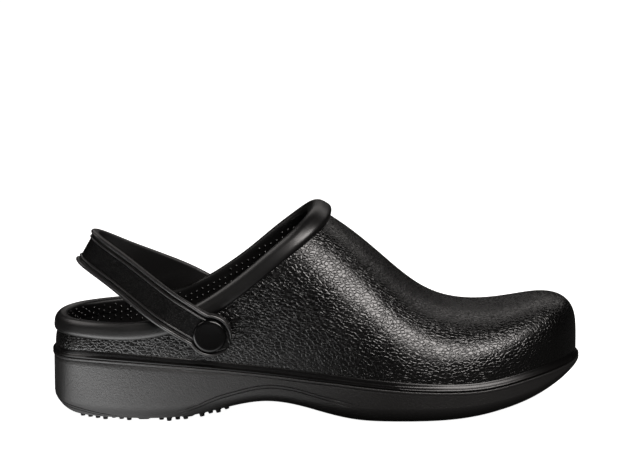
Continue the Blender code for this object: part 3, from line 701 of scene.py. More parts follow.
def loft(name, rings, finishes, strips=None, closed=True, caps=False, loop=True):
    """Skins rings of points in shoe millimetres. strips gives the finish of each strip along the rings."""
    count = len(rings[0])
    points = np.vstack([place(ring) for ring in rings])
    rows = np.arange(len(rings) if closed else len(rings) - 1)
    steps = np.arange(count if loop else count - 1)
    i, k = (grid.ravel() for grid in np.meshgrid(rows, steps, indexing="ij"))
    j = (i + 1) % len(rings)
    n = (k + 1) % count
    faces = np.stack([i * count + k, j * count + k, j * count + n, i * count + n], axis=1).tolist()
    finish_of_face = np.zeros(len(faces), int) if strips is None else np.asarray(strips)[k]
    if caps:
        faces.append(list(range(count)))
        faces.append(list(range((len(rings) - 1) * count, len(rings) * count)))
        finish_of_face = np.append(finish_of_face, [0, 0])
    mesh = bpy.data.meshes.new(name)
    mesh.from_pydata(points.tolist(), [], faces)
    for finish in finishes:
        mesh.materials.append(finish)
    mesh.polygons.foreach_set("material_index", finish_of_face.astype(np.int32))
    tidy_mesh(mesh)
    return new_mesh_object(name, mesh)


def apply_booleans(piece, steps, sharp_angle=32):
    """Cuts or joins the other meshes in turn, keeps the result as a plain mesh and removes the cutters."""
    for other, operation in steps:
        cut = piece.modifiers.new(operation.lower(), "BOOLEAN")
        cut.object = other
        cut.operation = operation
        cut.solver = "EXACT"
    keep_result(piece)
    for other, _ in steps:
        bpy.data.objects.remove(other)
    tidy_mesh(piece.data, sharp_angle)
    return piece


def keep_result(piece):
    """Makes what the piece's modifiers give its plain mesh."""
    graph = bpy.context.evaluated_depsgraph_get()
    result = bpy.data.meshes.new_from_object(piece.evaluated_get(graph))
    piece.modifiers.clear()
    piece.data = result


def cylinder_y(name, radius, near, far, finish, sides=64):
    """A cylinder along Y at the rivet, from near to far in shoe millimetres."""
    turns = turns_round(sides)
    x = RIVET_SPOT[0] + radius * np.cos(turns)
    z = RIVET_SPOT[2] + radius * np.sin(turns)
    rings = [np.column_stack([x, np.full(sides, y), z]) for y in sorted((near, far))]
    return loft(name, rings, [finish], closed=False, caps=True)


# Materials


def add_node(tree, kind, inputs, **settings):
    """A new node. Each input, by name or number, is given a value or the socket that feeds it."""
    node = tree.nodes.new(kind)
    for setting, value in settings.items():
        setattr(node, setting, value)
    for key, value in inputs.items():
        if isinstance(value, bpy.types.NodeSocket):
            tree.links.new(value, node.inputs[key])
        else:
            node.inputs[key].default_value = value
    return node


def feed(tree, node, sockets):
    """Links each socket to the node's input of this name."""
    for name, socket in sockets.items():
        tree.links.new(socket, node.inputs[name])


def maths(tree, operation, first, second):
    return add_node(tree, "ShaderNodeMath", {0: first, 1: second}, operation=operation).outputs[0]


def soft_range(tree, value, low, high):
    """0 at low and 1 at high, with a soft start and end."""
    inputs = {"Value": value, "From Min": low, "From Max": high}
    return add_node(tree, "ShaderNodeMapRange", inputs, interpolation_type="SMOOTHSTEP").outputs["Result"]


def noise(tree, where, scale, detail, roughness=0.5):
    inputs = {"Vector": where, "Scale": scale, "Detail": detail, "Roughness": roughness}
    return add_node(tree, "ShaderNodeTexNoise", inputs).outputs


def new_group(name, kind, inputs, outputs):
    """An empty node group with inputs as (name, socket type, starting value) and outputs as (name, type)."""
    tree = bpy.data.node_groups.new(name, kind)
    for label, socket_type, value in inputs:
        socket = tree.interface.new_socket(label, in_out="INPUT", socket_type=socket_type)
        if value is not None:
            socket.default_value = value
    for label, socket_type in outputs:
        tree.interface.new_socket(label, in_out="OUTPUT", socket_type=socket_type)
    return tree, tree.nodes.new("NodeGroupInput").outputs, tree.nodes.new("NodeGroupOutput")


def make_leather_grain():
    """Pebbled grain as moulded foam has it: small rounded cells in leaning strokes, parted by creases."""
    tree, given, out = new_group(
        "leather_grain",
        "ShaderNodeTree",
        [
            ("Cells per metre", "NodeSocketFloat", 610.0),
            ("Crease width", "NodeSocketFloat", 0.22),
            ("Waviness", "NodeSocketFloat", 0.0013),
            ("Unevenness", "NodeSocketFloat", 0.07),
        ],
        [("Height", "NodeSocketFloat"), ("Crease", "NodeSocketFloat")],
    )
    where = tree.nodes.new("ShaderNodeTexCoord").outputs["Object"]
    swirl = noise(tree, where, 300.0, 2.0)["Color"]
    swirl = add_node(tree, "ShaderNodeVectorMath", {0: swirl, 1: (0.5, 0.5, 0.5)}, operation="SUBTRACT")
    inputs = {0: swirl.outputs[0], "Scale": given["Waviness"]}
    swirl = add_node(tree, "ShaderNodeVectorMath", inputs, operation="SCALE")
    moved = add_node(tree, "ShaderNodeVectorMath", {0: where, 1: swirl.outputs[0]}, operation="ADD")
    lean = {"Rotation": (0.0, math.radians(-58), 0.0), "Scale": (0.66, 1.0, 1.0)}
    leaning = add_node(tree, "ShaderNodeMapping", {"Vector": moved.outputs[0], **lean})
    inputs = {"Vector": leaning.outputs[0], "Scale": given["Cells per metre"]}
    cells = add_node(tree, "ShaderNodeTexVoronoi", inputs, feature="DISTANCE_TO_EDGE")
    crease = soft_range(tree, cells.outputs["Distance"], 0.0, given["Crease width"])
    uneven = maths(tree, "MULTIPLY", noise(tree, where, 700.0, 3.0)["Fac"], given["Unevenness"])
    height = maths(tree, "ADD", crease, uneven)
    feed(tree, out, {"Height": height, "Crease": maths(tree, "SUBTRACT", 1.0, crease)})
    return tree


def make_foam_skin():
    """The fine skin of moulded foam: a close speckle in the surface, and a slow drift in how shiny it is."""
    tree, given, out = new_group(
        "foam_skin",
        "ShaderNodeTree",
        [
            ("Speckles per metre", "NodeSocketFloat", 2600.0),
            ("Drift per metre", "NodeSocketFloat", 38.0),
            ("Roughness", "NodeSocketFloat", 0.45),
            ("Roughness spread", "NodeSocketFloat", 0.12),
        ],
        [("Height", "NodeSocketFloat"), ("Roughness", "NodeSocketFloat"), ("Drift", "NodeSocketFloat")],
    )
    where = tree.nodes.new("ShaderNodeTexCoord").outputs["Object"]
    speckle = noise(tree, where, given["Speckles per metre"], 2.0, 0.7)["Fac"]
    drift = noise(tree, where, given["Drift per metre"], 3.0)["Fac"]
    swing = maths(tree, "MULTIPLY", maths(tree, "SUBTRACT", drift, 0.5), given["Roughness spread"])
    swing = maths(tree, "ADD", maths(tree, "MULTIPLY", swing, 2.0), given["Roughness"])
    fine = maths(tree, "MULTIPLY", maths(tree, "SUBTRACT", speckle, 0.5), 0.12)
    feed(tree, out, {"Height": speckle, "Roughness": maths(tree, "ADD", swing, fine), "Drift": drift})
    return tree


LEATHER_GRAIN = make_leather_grain()
FOAM_SKIN = make_foam_skin()


def foam(name, colour, roughness, spread, speckle_depth, speckles=2600.0, specular=0.5, grain=None):
    """Moulded foam: a base colour that drifts a little, the fine skin, and where asked the pebbled grain.

    grain is (depth, cells per metre, crease width). Depths are in metres.
    """
    made = bpy.data.materials.new(name)
    made.use_nodes = True
    tree = made.node_tree
    shader = tree.nodes["Principled BSDF"]
    shader.inputs["Metallic"].default_value = 0.0
    shader.inputs["Specular IOR Level"].default_value = specular
    inputs = {"Roughness": roughness, "Roughness spread": spread, "Speckles per metre": speckles}
    skin = add_node(tree, "ShaderNodeGroup", {}, node_tree=FOAM_SKIN)
    for label, value in inputs.items():
        skin.inputs[label].default_value = value
    darker, lighter = ((*(share * c for c in colour), 1.0) for share in (0.86, 1.14))
    inputs = {"Factor": skin.outputs["Drift"], "A": darker, "B": lighter}
    drifting = add_node(tree, "ShaderNodeMix", inputs, data_type="RGBA")
    inputs = {"Distance": speckle_depth, "Height": skin.outputs["Height"]}
    normal = add_node(tree, "ShaderNodeBump", inputs).outputs["Normal"]
    rough = skin.outputs["Roughness"]
    if grain:
        depth, cells, crease = grain
        inputs = {"Cells per metre": cells, "Crease width": crease}
        pebbles = add_node(tree, "ShaderNodeGroup", {}, node_tree=LEATHER_GRAIN)
        for label, value in inputs.items():
            pebbles.inputs[label].default_value = value
        inputs = {"Distance": depth, "Height": pebbles.outputs["Height"], "Normal": normal}
        normal = add_node(tree, "ShaderNodeBump", inputs).outputs["Normal"]
        rough = maths(tree, "ADD", rough, maths(tree, "MULTIPLY", pebbles.outputs["Crease"], 0.05))
    feed(tree, shader, {"Base Color": drifting.outputs["Result"], "Roughness": rough, "Normal": normal})
    return made


GRAINED_BLACK = (0.0011, 0.00105, 0.00105)
SMOOTH_BLACK = (0.0026, 0.0025, 0.0025)
MATT_BLACK = (0.0014, 0.0013, 0.0013)
NUB_BLACK = (0.0045, 0.0044, 0.0044)
SOLE_BLACK = (0.008, 0.0077, 0.0077)
STRAP_BLACK = (0.0085, 0.0083, 0.0083)
DEEP_BLACK = (0.0010, 0.0010, 0.0010)
RUBBER_BLACK = (0.007, 0.007, 0.007)

grained_foam = foam("grained_foam", GRAINED_BLACK, 0.25, 0.06, 0.00001, grain=(0.00012, 610.0, 0.22))
smooth_foam = foam("smooth_foam", SMOOTH_BLACK, 0.37, 0.08, 0.00002)
ledge_foam = foam("ledge_foam", MATT_BLACK, 0.30, 0.06, 0.00002, specular=0.34)
lining_foam = foam("lining_foam", MATT_BLACK, 0.45, 0.10, 0.00002, specular=0.28)
nub_foam = foam("nub_foam", NUB_BLACK, 0.26, 0.05, 0.00001)
sole_foam = foam("sole_foam", SOLE_BLACK, 0.42, 0.08, 0.00020, speckles=1100.0)
tread_rubber = foam("tread_rubber", RUBBER_BLACK, 0.60, 0.10, 0.00003)
strap_foam = foam("strap_foam", STRAP_BLACK, 0.32, 0.08, 0.00001)
panel_grain = (0.00011, 1000.0, 0.34)
strap_panel = foam("strap_panel", DEEP_BLACK, 0.42, 0.10, 0.00002, specular=0.10, grain=panel_grain)
button_plastic = foam("button_plastic", DEEP_BLACK, 0.20, 0.05, 0.000004, specular=0.32)


# Upper


def upper_column(ray):
    """A column of the shell: down the inside, under the foot of the wall, over the ledge, up the outside."""
    start, direction = ray
    edge, normal = outline_hit(start, direction)
    seam = seam_height(edge[0])
    ledge = ledge_height(edge[0])
    outside = resample(dome_line(ray, LEDGE_INSET, 0.0, FINE_SAMPLES), DOME_ROWS, ROW_BEND)
    inside = dome_line(ray, LEDGE_INSET + WALL, WALL, FINE_SAMPLES)
    inside = resample(inside, DOME_ROWS, ROW_BEND)[::-1]
    foot = [(LEDGE_INSET + WALL, 0.0), (0.55, 0.0), (0.22, 0.12), (0.04, 0.38), (0.0, 0.7)]
    rows = [(inset, SEAM_GAP + height) for inset, height in foot]
    slope = ramp(edge[0] / LENGTH_SCALE, *LEDGE_TURNS)
    for steep, leaning in zip(LEDGE_STEEP, LEDGE_LEANING):
        inset, height = (near + (far - near) * slope for near, far in zip(steep, leaning))
        rows.append((inset, height * ledge))
    wall_foot = [[*(edge - normal * inset), seam + height] for inset, height in rows]
    return np.vstack([inside, wall_foot, outside])


def collar_rings():
    """The rings of the rolled collar: flush with the lining, round on top, flatter down the outside."""
    throat = find_throat()
    path = collar_path()
    spots = path[:, :3]
    tangent = np.roll(spots, -1, axis=0) - np.roll(spots, 1, axis=0)
    tangent /= np.linalg.norm(tangent, axis=1)[:, None]
    outward = path[:, 3:] - tangent * (path[:, 3:] * tangent).sum(axis=1)[:, None]
    outward /= np.linalg.norm(outward, axis=1)[:, None]
    upward = np.cross(outward, tangent)
    angle = turns_round(COLLAR_SIDES)
    cosine, sine = np.cos(angle), np.sin(angle)
    upper_half = np.where(cosine > 0, RIM_ROUNDNESS_OVER, RIM_ROUNDNESS_INSIDE)
    power = 2 / np.where(sine > 0, upper_half, RIM_ROUNDNESS_UNDER)
    across = np.sign(cosine) * np.abs(cosine) ** power
    rise = np.sign(sine) * np.abs(sine) ** power / 2
    rings = []
    for spot, out, up in zip(spots, outward, upward):
        near = ramp(spot[0], throat - RIM_SWELLS_WITHIN, throat) ** 2
        outside = COLLAR_PROUD + (COLLAR_PROUD_THROAT - COLLAR_PROUD) * near + COLLAR_THICKNESS / 2
        depth = COLLAR_DEPTH + (COLLAR_DEPTH_THROAT - COLLAR_DEPTH) * near
        drop = (depth - COLLAR_DEPTH) / 2
        inside = WALL / 2 + RIM_STEP_INSIDE + RIM_STEP_THROAT * near
        half = (outside + inside) / 2
        ring = spot + np.outer(half - inside + across * half, out)
        rings.append(ring + np.outer(rise * depth - drop, up))
    return rings


def make_upper():
    """The moulded upper: the shell cut at the collar, its rolled rim, each rivet's seat and hole."""
    columns = [upper_column(ray) for ray in plan]
    grained, smooth, lining, ledge = range(4)
    finishes = [grained_foam, smooth_foam, lining_foam, ledge_foam]
    strips = np.full(len(columns[0]), grained)
    strips[: DOME_ROWS - 1] = lining
    strips[DOME_ROWS - 1 : DOME_ROWS + len(LEDGE_STEEP) + 4] = ledge
    upper = loft("upper_skin", columns, finishes, strips, loop=False)
    throat = find_throat()
    behind, overhead = -12.0, 220.0
    edge_line = [(x, float(collar_height(x))) for x in np.linspace(behind, throat, 90)]
    edge_line += [(throat, overhead), (behind, overhead)]
    above = [np.array([(x, y, z) for x, z in edge_line]) for y in (-BALL_WIDTH, BALL_WIDTH)]
    cutter = loft("above_the_collar", above, finishes, closed=False, caps=True)
    middles = (np.arange(COLLAR_SIDES) + 0.5) / COLLAR_SIDES
    inside = (middles > RIM_LINING_TURNS[0]) & (middles < RIM_LINING_TURNS[1])
    rim = loft("rim", collar_rings(), finishes, np.where(inside, lining, smooth))
    steps = [(cutter, "DIFFERENCE"), (rim, "UNION")]
    for side in (-1, 1):
        root = wall_at_rivet(side) - side * WALL * 0.6
        face = strap_inner_face(side) - side * GAP
        steps.append((cylinder_y("seat", SEAT_RADIUS, root, face, smooth_foam), "UNION"))
    for side in (-1, 1):
        bore = cylinder_y("bore", RIVET_SHANK_RADIUS + GAP, side * 20.0, side * 60.0, smooth_foam)
        steps.append((bore, "DIFFERENCE"))
    return apply_booleans(upper, steps)


# Sole, outsole and insole


def sole_profile(edge, normal):
    """Inset and height down the sole's side: a bead under the seam, a groove, a double step, the roll."""
    x = edge[0]
    drawn_x = x / LENGTH_SCALE
    bottom = sole_rim(edge, normal)[1]
    top = float(seam_height(x)) - SEAM_GAP - 0.25
    width = float(roll_width(x))
    height = min(float(roll_height(x)), top - bottom - 0.8)
    sweep = float(step_height(x)) + np.interp(drawn_x, *zip(*STEP_RISE_ROWS))
    step = bottom + min(sweep, top - bottom - BEAD_HEIGHT - 1.5)
    depth = max(float(step_depth(x)), 0.0)
    power = np.interp(drawn_x, ROLL_TURNS, (ROLL_POWER, ROLL_POWER_TOE))
    groove = top - BEAD_HEIGHT - GROOVE_WIDTH
    bead_share = 1 - (1 - BEAD_LEFT_AT_TOE) * ramp(drawn_x, *BEAD_FADES)

    def rolled(z):
        rise = np.clip((bottom + height - z) / height, 0, 1)
        return width * (1 - (1 - rise**power) ** (1 / power))

    def lean(z):
        return BEAD_PROUD * bead_share * ramp(z, bottom + height, groove)

    foot_of_bead = top - BEAD_HEIGHT
    rows = [(0.22, top + 0.17), (0.05, top), (0.0, top - 0.3), (0.02, foot_of_bead + 0.35)]
    cut = [(0.14, foot_of_bead + 0.1), (0.75, groove + 0.12), (0.80, groove)]
    rows += [(inset * bead_share, z) for inset, z in cut]
    rows = [(inset + rolled(z), z) for inset, z in rows]
    rows += [(rolled(z) + lean(z), z) for z in np.linspace(groove - GROOVE_WIDTH, step, 12)]
    second = step - min(STEP_WIDTH, 0.35 * (step - bottom))
    notch = NOTCH_DEPTH * min(depth / 0.5, 1.0)
    for start, end, before, sunk, count in (
        (step, second, 0.0, 0.5 * depth, 4),
        (second, bottom, 0.5 * depth, depth, 12),
    ):
        z = start - 0.22
        rows.append((rolled(z) + lean(start) + before + 0.75 * (sunk - before), z))
        for z in (start - 0.4, start - 0.6):
            rows.append((rolled(z) + lean(step) + sunk + notch, z))
        rows += [(rolled(z) + lean(step) + sunk, z) for z in np.linspace(start - 0.85, end, count)]
    return rows


def sole_column(ray):
    """A column of the sole: the well, the rim, the side, the roll and the outsole's pocket."""
    start, direction = ray
    edge, normal = outline_hit(start, direction)
    rim_height = seam_height(edge[0]) - SEAM_GAP
    floor = edge - normal * WELL_FLOOR_INSET
    well = [start + (floor - start) * share for share in np.linspace(0, 1, 7)]
    column = [[*spot, footbed_height(spot[0])] for spot in well]
    column += [[*(edge - normal * inset), rim_height] for inset in (WELL_TOP_INSET, 0.5)]
    column += [[*(edge - normal * inset), z] for inset, z in sole_profile(edge, normal)]
    pocket, bottom = sole_rim(edge, normal)
    column[-1] = [*pocket, bottom]
    column.append([*pocket, bottom + POCKET])
    under = [start + (pocket - start) * share for share in np.linspace(1, 0, 7)[1:]]
    column += [[*spot, underside_height(spot[0]) + POCKET] for spot in under]
    return np.array(column)


def outsole_column(ray):
    """A column of the outsole's plate."""
    start, direction = ray
    edge, normal = outline_hit(start, direction)
    pocket, bottom = sole_rim(edge, normal)
    rim = pocket - normal * GAP
    top = POCKET - GAP
    spots = [start + (rim - start) * share for share in np.linspace(0, 1, 9)[:-1]]
    column = [[*spot, underside_height(spot[0]) + top] for spot in spots]
    column += [[*rim, bottom + top], [*rim, bottom + 0.1]]
    column += [[*spot, underside_height(spot[0])] for spot in spots[::-1]]
    return np.array(column)


# Strap and rivets


def bead(width, height, sides):
    """Points over a half round of this width and height, as (distance across, height)."""
    angle = np.linspace(math.pi, 0, sides + 1)
    return [(width / 2 + width / 2 * math.cos(a), height * math.sin(a)) for a in angle]


def strap_edge():
    """The strap's raised edge, channel and thin rib, as (distance in from the edge, height over the web)."""
    rows = [(0.0, -0.75), (0.12, 0.25)]
    rows += [(0.15 + across, STRAP_BEAD * 0.3 + rise) for across, rise in bead(2.15, STRAP_BEAD * 0.8, 8)]
    rows += [(2.4, -0.15), (2.6, -0.3), (3.2, -0.3), (3.4, 0.3 * STRAP_RIB)]
    rows += [(3.5 + across, STRAP_RIB * 0.5 + rise) for across, rise in bead(1.1, STRAP_RIB * 0.8, 6)]
    return rows


def strap_section(half, nearest):
    """A section of the strap as (outward, upward) points: its two edges and the sunk panel between."""
    web = STRAP_WEB / 2
    squeeze = min(1.0, 0.92 * half / 6.2)
    edge = strap_edge()
    points = [(web + out, half - gone * squeeze) for gone, out in edge]
    inner_edge = half - PANEL_INSET * squeeze
    for up in np.linspace(inner_edge, -inner_edge, PANEL_ROWS):
        sunk = float(ramp(math.hypot(nearest, up), STRAP_PAD_RADIUS, STRAP_PAD_RADIUS + 0.5))
        points.append((web + STRAP_RIB * 0.55 * (1 - sunk), up))
    points += [(web + out, -half + gone * squeeze) for gone, out in edge[::-1]]
    inner = [(0.45 - web, 0.05 - half), (0.12 - web, 0.4 * squeeze - half), (-web, 1.0 * squeeze - half)]
    return points + inner + [(out, -up) for out, up in inner[::-1]]


def make_strap():
    """The heel strap, lofted round the back with its raised edges, round ends and rivet holes."""
    line = strap_centre_line()
    length = distance_along(line[:, :2])
    lateral = line[:, 1] < 0
    first = float(np.interp(-RIVET_REACH, -line[lateral][:, 0], length[lateral]))
    last = float(np.interp(RIVET_REACH, line[~lateral][:, 0], length[~lateral]))
    tip = STRAP_END_RADIUS - 0.04
    ends = tip * np.sin(np.linspace(0, math.pi / 2, STRAP_END_STATIONS))
    neck = np.linspace(1.5, STRAP_PAD_RADIUS + 4.5, STRAP_NECK_STATIONS)
    clear = STRAP_PAD_RADIUS + 6.0
    run = np.linspace(first + clear, last - clear, 2 * STRAP_STATIONS - 1)
    stations = np.concatenate([first - ends[::-1], first + neck, run, last - neck[::-1], last + ends])

    def spot_at(station):
        return np.array([np.interp(station, length, line[:, k]) for k in (0, 1)])

    rings = []
    for station in stations:
        along = unit(spot_at(station + 1.0) - spot_at(station - 1.0))
        outward = np.array([-along[1], along[0]])
        lean = math.radians(np.interp(station, length, line[:, 2]))
        nearest = min(abs(station - first), abs(station - last))
        round_end = math.sqrt(max(STRAP_END_RADIUS**2 - nearest**2, 0.0))
        beyond = station < first or station > last
        half = round_end if beyond else max(STRAP_HALF_WIDTH, round_end)
        ring = []
        for out, up in strap_section(half, nearest):
            sideways = out * math.cos(lean) - up * math.sin(lean)
            reach, across = spot_at(station) + outward * sideways
            ring.append(strap_point(reach, across, up * math.cos(lean) + out * math.sin(lean)))
        rings.append(np.array(ring))
    strips = np.zeros(len(rings[0]), int)
    panel = len(strap_edge())
    strips[panel : panel + PANEL_ROWS - 1] = 1
    strap = loft("strap_skin", rings, [strap_foam, strap_panel], strips, closed=False, caps=True)
    holes = []
    for side in (-1, 1):
        hole = cylinder_y("hole", RIVET_SHANK_RADIUS + GAP, side * 30.0, side * 60.0, strap_foam)
        holes.append((hole, "DIFFERENCE"))
    return apply_booleans(strap, holes)


def make_rivet(side, name):
    """A round-headed rivet turned about Y: a softly dished head, the shank and a flat tail inside."""
    head = abs(strap_inner_face(side)) + STRAP_WEB + GAP
    top = head + RIVET_HEAD_HEIGHT
    tail = abs(wall_at_rivet(side)) - WALL - GAP - 0.9
    radius, dish, corner = RIVET_HEAD_RADIUS, RIVET_HEAD_DISH, RIVET_HEAD_ROUND
    profile = [(0.0, top - dish)]
    for share in np.linspace(0.1, 0.8, 9):
        profile.append((share * radius, top - dish * (1 - (share / 0.8) ** 2)))
    for a in np.linspace(math.pi / 2, 0, 9):
        profile.append((radius - corner * (1 - math.cos(a)), top - corner * (1 - math.sin(a))))
    profile += [
        (radius, head + 0.25),
        (radius - 0.25, head),
        (RIVET_SHANK_RADIUS, head),
        (RIVET_SHANK_RADIUS, tail),
        (RIVET_TAIL_RADIUS - 0.2, tail),
        (RIVET_TAIL_RADIUS, tail - 0.3),
        (RIVET_TAIL_RADIUS - 0.1, tail - 0.9),
        (RIVET_TAIL_RADIUS - 0.6, tail - RIVET_TAIL_HEIGHT),
        (0.0, tail - RIVET_TAIL_HEIGHT),
    ]
    r, y = np.array(profile).T
    rings = []
    for turn in turns_round(RIVET_SIDES):
        x = RIVET_SPOT[0] + r * math.cos(turn)
        rings.append(np.column_stack([x, side * y, RIVET_SPOT[2] + r * math.sin(turn)]))
    return loft(name, rings, [button_plastic], loop=False)


# Nubs and lugs, set out on points by Geometry Nodes


def make_stud_tree():
    """Sets a tapered stud on each point of a mesh, along the point's facing and as tall as its reach."""
    tree, given, out = new_group(
        "studs_on_points",
        "GeometryNodeTree",
        [
            ("Points", "NodeSocketGeometry", None),
            ("Sides", "NodeSocketInt", 8),
            ("Foot radius", "NodeSocketFloat", 0.001),
            ("Top radius", "NodeSocketFloat", 0.0005),
            ("Finish", "NodeSocketMaterial", None),
        ],
        [("Studs", "NodeSocketGeometry")],
    )
    inputs = {"Vertices": given["Sides"], "Radius Bottom": given["Foot radius"], "Depth": 1.0}
    stud = add_node(tree, "GeometryNodeMeshCone", {**inputs, "Radius Top": given["Top radius"]})
    named = "GeometryNodeInputNamedAttribute"
    facing = add_node(tree, named, {"Name": "facing"}, data_type="FLOAT_VECTOR").outputs["Attribute"]
    reach = add_node(tree, named, {"Name": "reach"}, data_type="FLOAT").outputs["Attribute"]
    aim = add_node(tree, "FunctionNodeAlignRotationToVector", {"Vector": facing}, axis="Z")
    size = add_node(tree, "ShaderNodeCombineXYZ", {0: 1.0, 1: 1.0, 2: reach})
    inputs = {"Points": given["Points"], "Instance": stud.outputs["Mesh"]}
    inputs.update({"Rotation": aim.outputs["Rotation"], "Scale": size.outputs["Vector"]})
    spread = add_node(tree, "GeometryNodeInstanceOnPoints", inputs)
    real = add_node(tree, "GeometryNodeRealizeInstances", {"Geometry": spread.outputs["Instances"]})
    inputs = {"Geometry": real.outputs["Geometry"], "Material": given["Finish"]}
    finish = add_node(tree, "GeometryNodeSetMaterial", inputs)
    feed(tree, out, {"Studs": finish.outputs["Geometry"]})
    return tree


STUD_TREE = make_stud_tree()


def studs(name, points, facing, reach, sides, foot_radius, top_radius, finish, sharp_angle):
    """A plain mesh of studs standing on points in shoe millimetres."""
    mesh = bpy.data.meshes.new(name)
    mesh.from_pydata(place(points).tolist(), [], [])
    direction = mesh.attributes.new("facing", "FLOAT_VECTOR", "POINT")
    direction.data.foreach_set("vector", np.asarray(facing, np.float32).ravel())
    length = mesh.attributes.new("reach", "FLOAT", "POINT")
    length.data.foreach_set("value", np.asarray(reach, np.float32) * MM)
    piece = new_mesh_object(name, mesh)
    maker = piece.modifiers.new("studs", "NODES")
    maker.node_group = STUD_TREE
    values = {"Sides": sides, "Foot radius": foot_radius * MM, "Top radius": top_radius * MM}
    values["Finish"] = finish
    for item in STUD_TREE.interface.items_tree:
        if item.item_type == "SOCKET" and item.in_out == "INPUT" and item.name in values:
            maker[item.identifier] = values[item.name]
    keep_result(piece)
    piece.data.shade_smooth()
    piece.data.set_sharp_from_angle(angle=math.radians(sharp_angle))
    return piece


def surface_of(piece):
    """A tree for finding where a line meets the piece."""
    mesh = piece.data
    faces = [tuple(face.vertices) for face in mesh.polygons]
    return BVHTree.FromPolygons([point.co.copy() for point in mesh.vertices], faces)


def nubs(name, points, facing, size):
    """Low blunt nubs, let a little into the surface that they stand on."""
    radius, height = size
    points, facing = np.array(points), np.array(facing)
    reach = np.full(len(points), height + NUB_LET_IN)
    return studs(name, points - facing * NUB_LET_IN, facing, reach, 8, radius, 0.5 * radius, nub_foam, 70)


def insole_nubs(insole):
    """Staggered nubs over the insole's top."""
    surface = surface_of(insole)
    margin = WELL_FLOOR_INSET + GAP + 2.2
    points, facing = [], []
    for x, y in staggered(FOOTBED_PITCH, 6.0, 12):
        spot, normal, _, _ = surface.ray_cast(Vector(place([x, y, 90.0])), Vector((0, 0, -1)))
        if spot is not None and normal.z >= 0.7 and room_to_edge(x, y)[0] >= margin:
            points.append(shoe_spot(spot))
            facing.append(np.array(normal))
    return nubs("insole_nubs", points, facing, FOOTBED_NUB)


def lining_nubs(upper):
    """Staggered nubs on the inside of the wall, from the insole up to the collar's edge."""
    surface = surface_of(upper)
    throat = find_throat()
    points, facing = [], []
    fan_step = math.degrees(LINING_PITCH * 0.9 / (HEEL_POLE[0] - LEDGE_INSET - WALL))
    lines = [(HEEL_POLE, angle) for angle in np.arange(180, 270, fan_step)]
    lines += [(spine(x), 270.0) for x in np.arange(HEEL_POLE[0], LINING_ENDS, LINING_PITCH * 0.866)]
    for number, (start, angle) in enumerate(lines):
        for side in (-1, 1) if number else (-1,):
            direction = direction_at(-side * angle)
            line = dome_line((start, direction), LEDGE_INSET + WALL, WALL, 200)
            inward = np.array([*-direction, 0.0])
            length = distance_along(line)
            first = 3.0 + (number % 2) * LINING_PITCH / 2
            for reach in np.arange(first, length[-1] - 1.0, LINING_PITCH):
                i = int(np.searchsorted(length, reach))
                spot = line[i]
                low = footbed_height(spot[0]) + INSOLE_THICKNESS + 5.0
                below_rim = 3.4 * ramp(spot[0], throat - 40, throat - 10) - 2.6
                high = collar_height(spot[0]) - below_rim if spot[0] < throat else math.inf
                if not low < spot[2] < high:
                    continue
                rising = unit(line[i] - line[i - 1])
                inside = unit(inward - rising * (inward @ rising))
                eye = Vector(place(spot + inside * 4.0))
                hit, normal, _, _ = surface.ray_cast(eye, Vector(-inside), 8.0 * MM)
                if hit is not None and normal.dot(Vector(inside)) >= 0.8:
                    points.append(shoe_spot(hit))
                    facing.append(np.array(normal))
    return nubs("lining_nubs", points, facing, LINING_NUB)


def under_stud(x, y, let_in):
    """A stud's foot in the plate, its direction and its reach, down to the floor where the sole rests."""
    height = float(underside_height(x))
    if height < LUG_HEIGHT + FLOOR_WITHIN:
        down = np.array([0.0, 0.0, -1.0])
        reach = height
    else:
        down = unit(np.array([underside_height(x + 0.5) - underside_height(x - 0.5), 0.0, -1.0]))
        reach = LUG_HEIGHT
    return np.array([x, y, height]) - down * let_in, down, let_in + reach


def make_lugs():
    """The outsole's six-sided lugs, in the same places as the solid's."""
    points, facing, reach = zip(*(under_stud(x, y, LUG_LET_IN) for x, y in lug_spots()))
    top_radius = LUG_RADIUS - LUG_CHAMFER
    return studs("tread_lugs", points, facing, reach, 6, LUG_RADIUS, top_radius, tread_rubber, 30)


def make_tread_nubs():
    """Small round nubs between and round the lugs, out to the edge of the outsole under the heel."""
    lugs = np.array(lug_spots())
    clear = LUG_RADIUS + TREAD_RADIUS - 0.6
    found = []
    for x, y in staggered(TREAD_PITCH, 8.0, 12):
        under_heel = within(x, TREAD_UNDER_HEEL)
        if not (under_heel or within(x, TREAD_UNDER_FOREFOOT)):
            continue
        margin = float(roll_width(x)) + 0.6 + TREAD_RADIUS + (0.0 if under_heel else LUG_MARGIN_FOREFOOT)
        if room_to_edge(x, y)[0] >= margin and np.min(np.hypot(*(lugs - (x, y)).T)) >= clear:
            found.append(under_stud(x, y, TREAD_LET_IN))
    points, facing, reach = zip(*found)
    reach = np.array(reach) - TREAD_SHORTER
    top_radius = TREAD_RADIUS * 0.75
    return studs("tread_nubs", points, facing, reach, 10, TREAD_RADIUS, top_radius, tread_rubber, 40)


# Camera, floor and light


def seen_from(turn, rise):
    """The direction from the shoe at this many degrees round from its lateral side and this many up."""
    a, e = math.radians(turn), math.radians(rise)
    return Vector((math.sin(a) * math.cos(e), -math.cos(a) * math.cos(e), math.sin(e)))


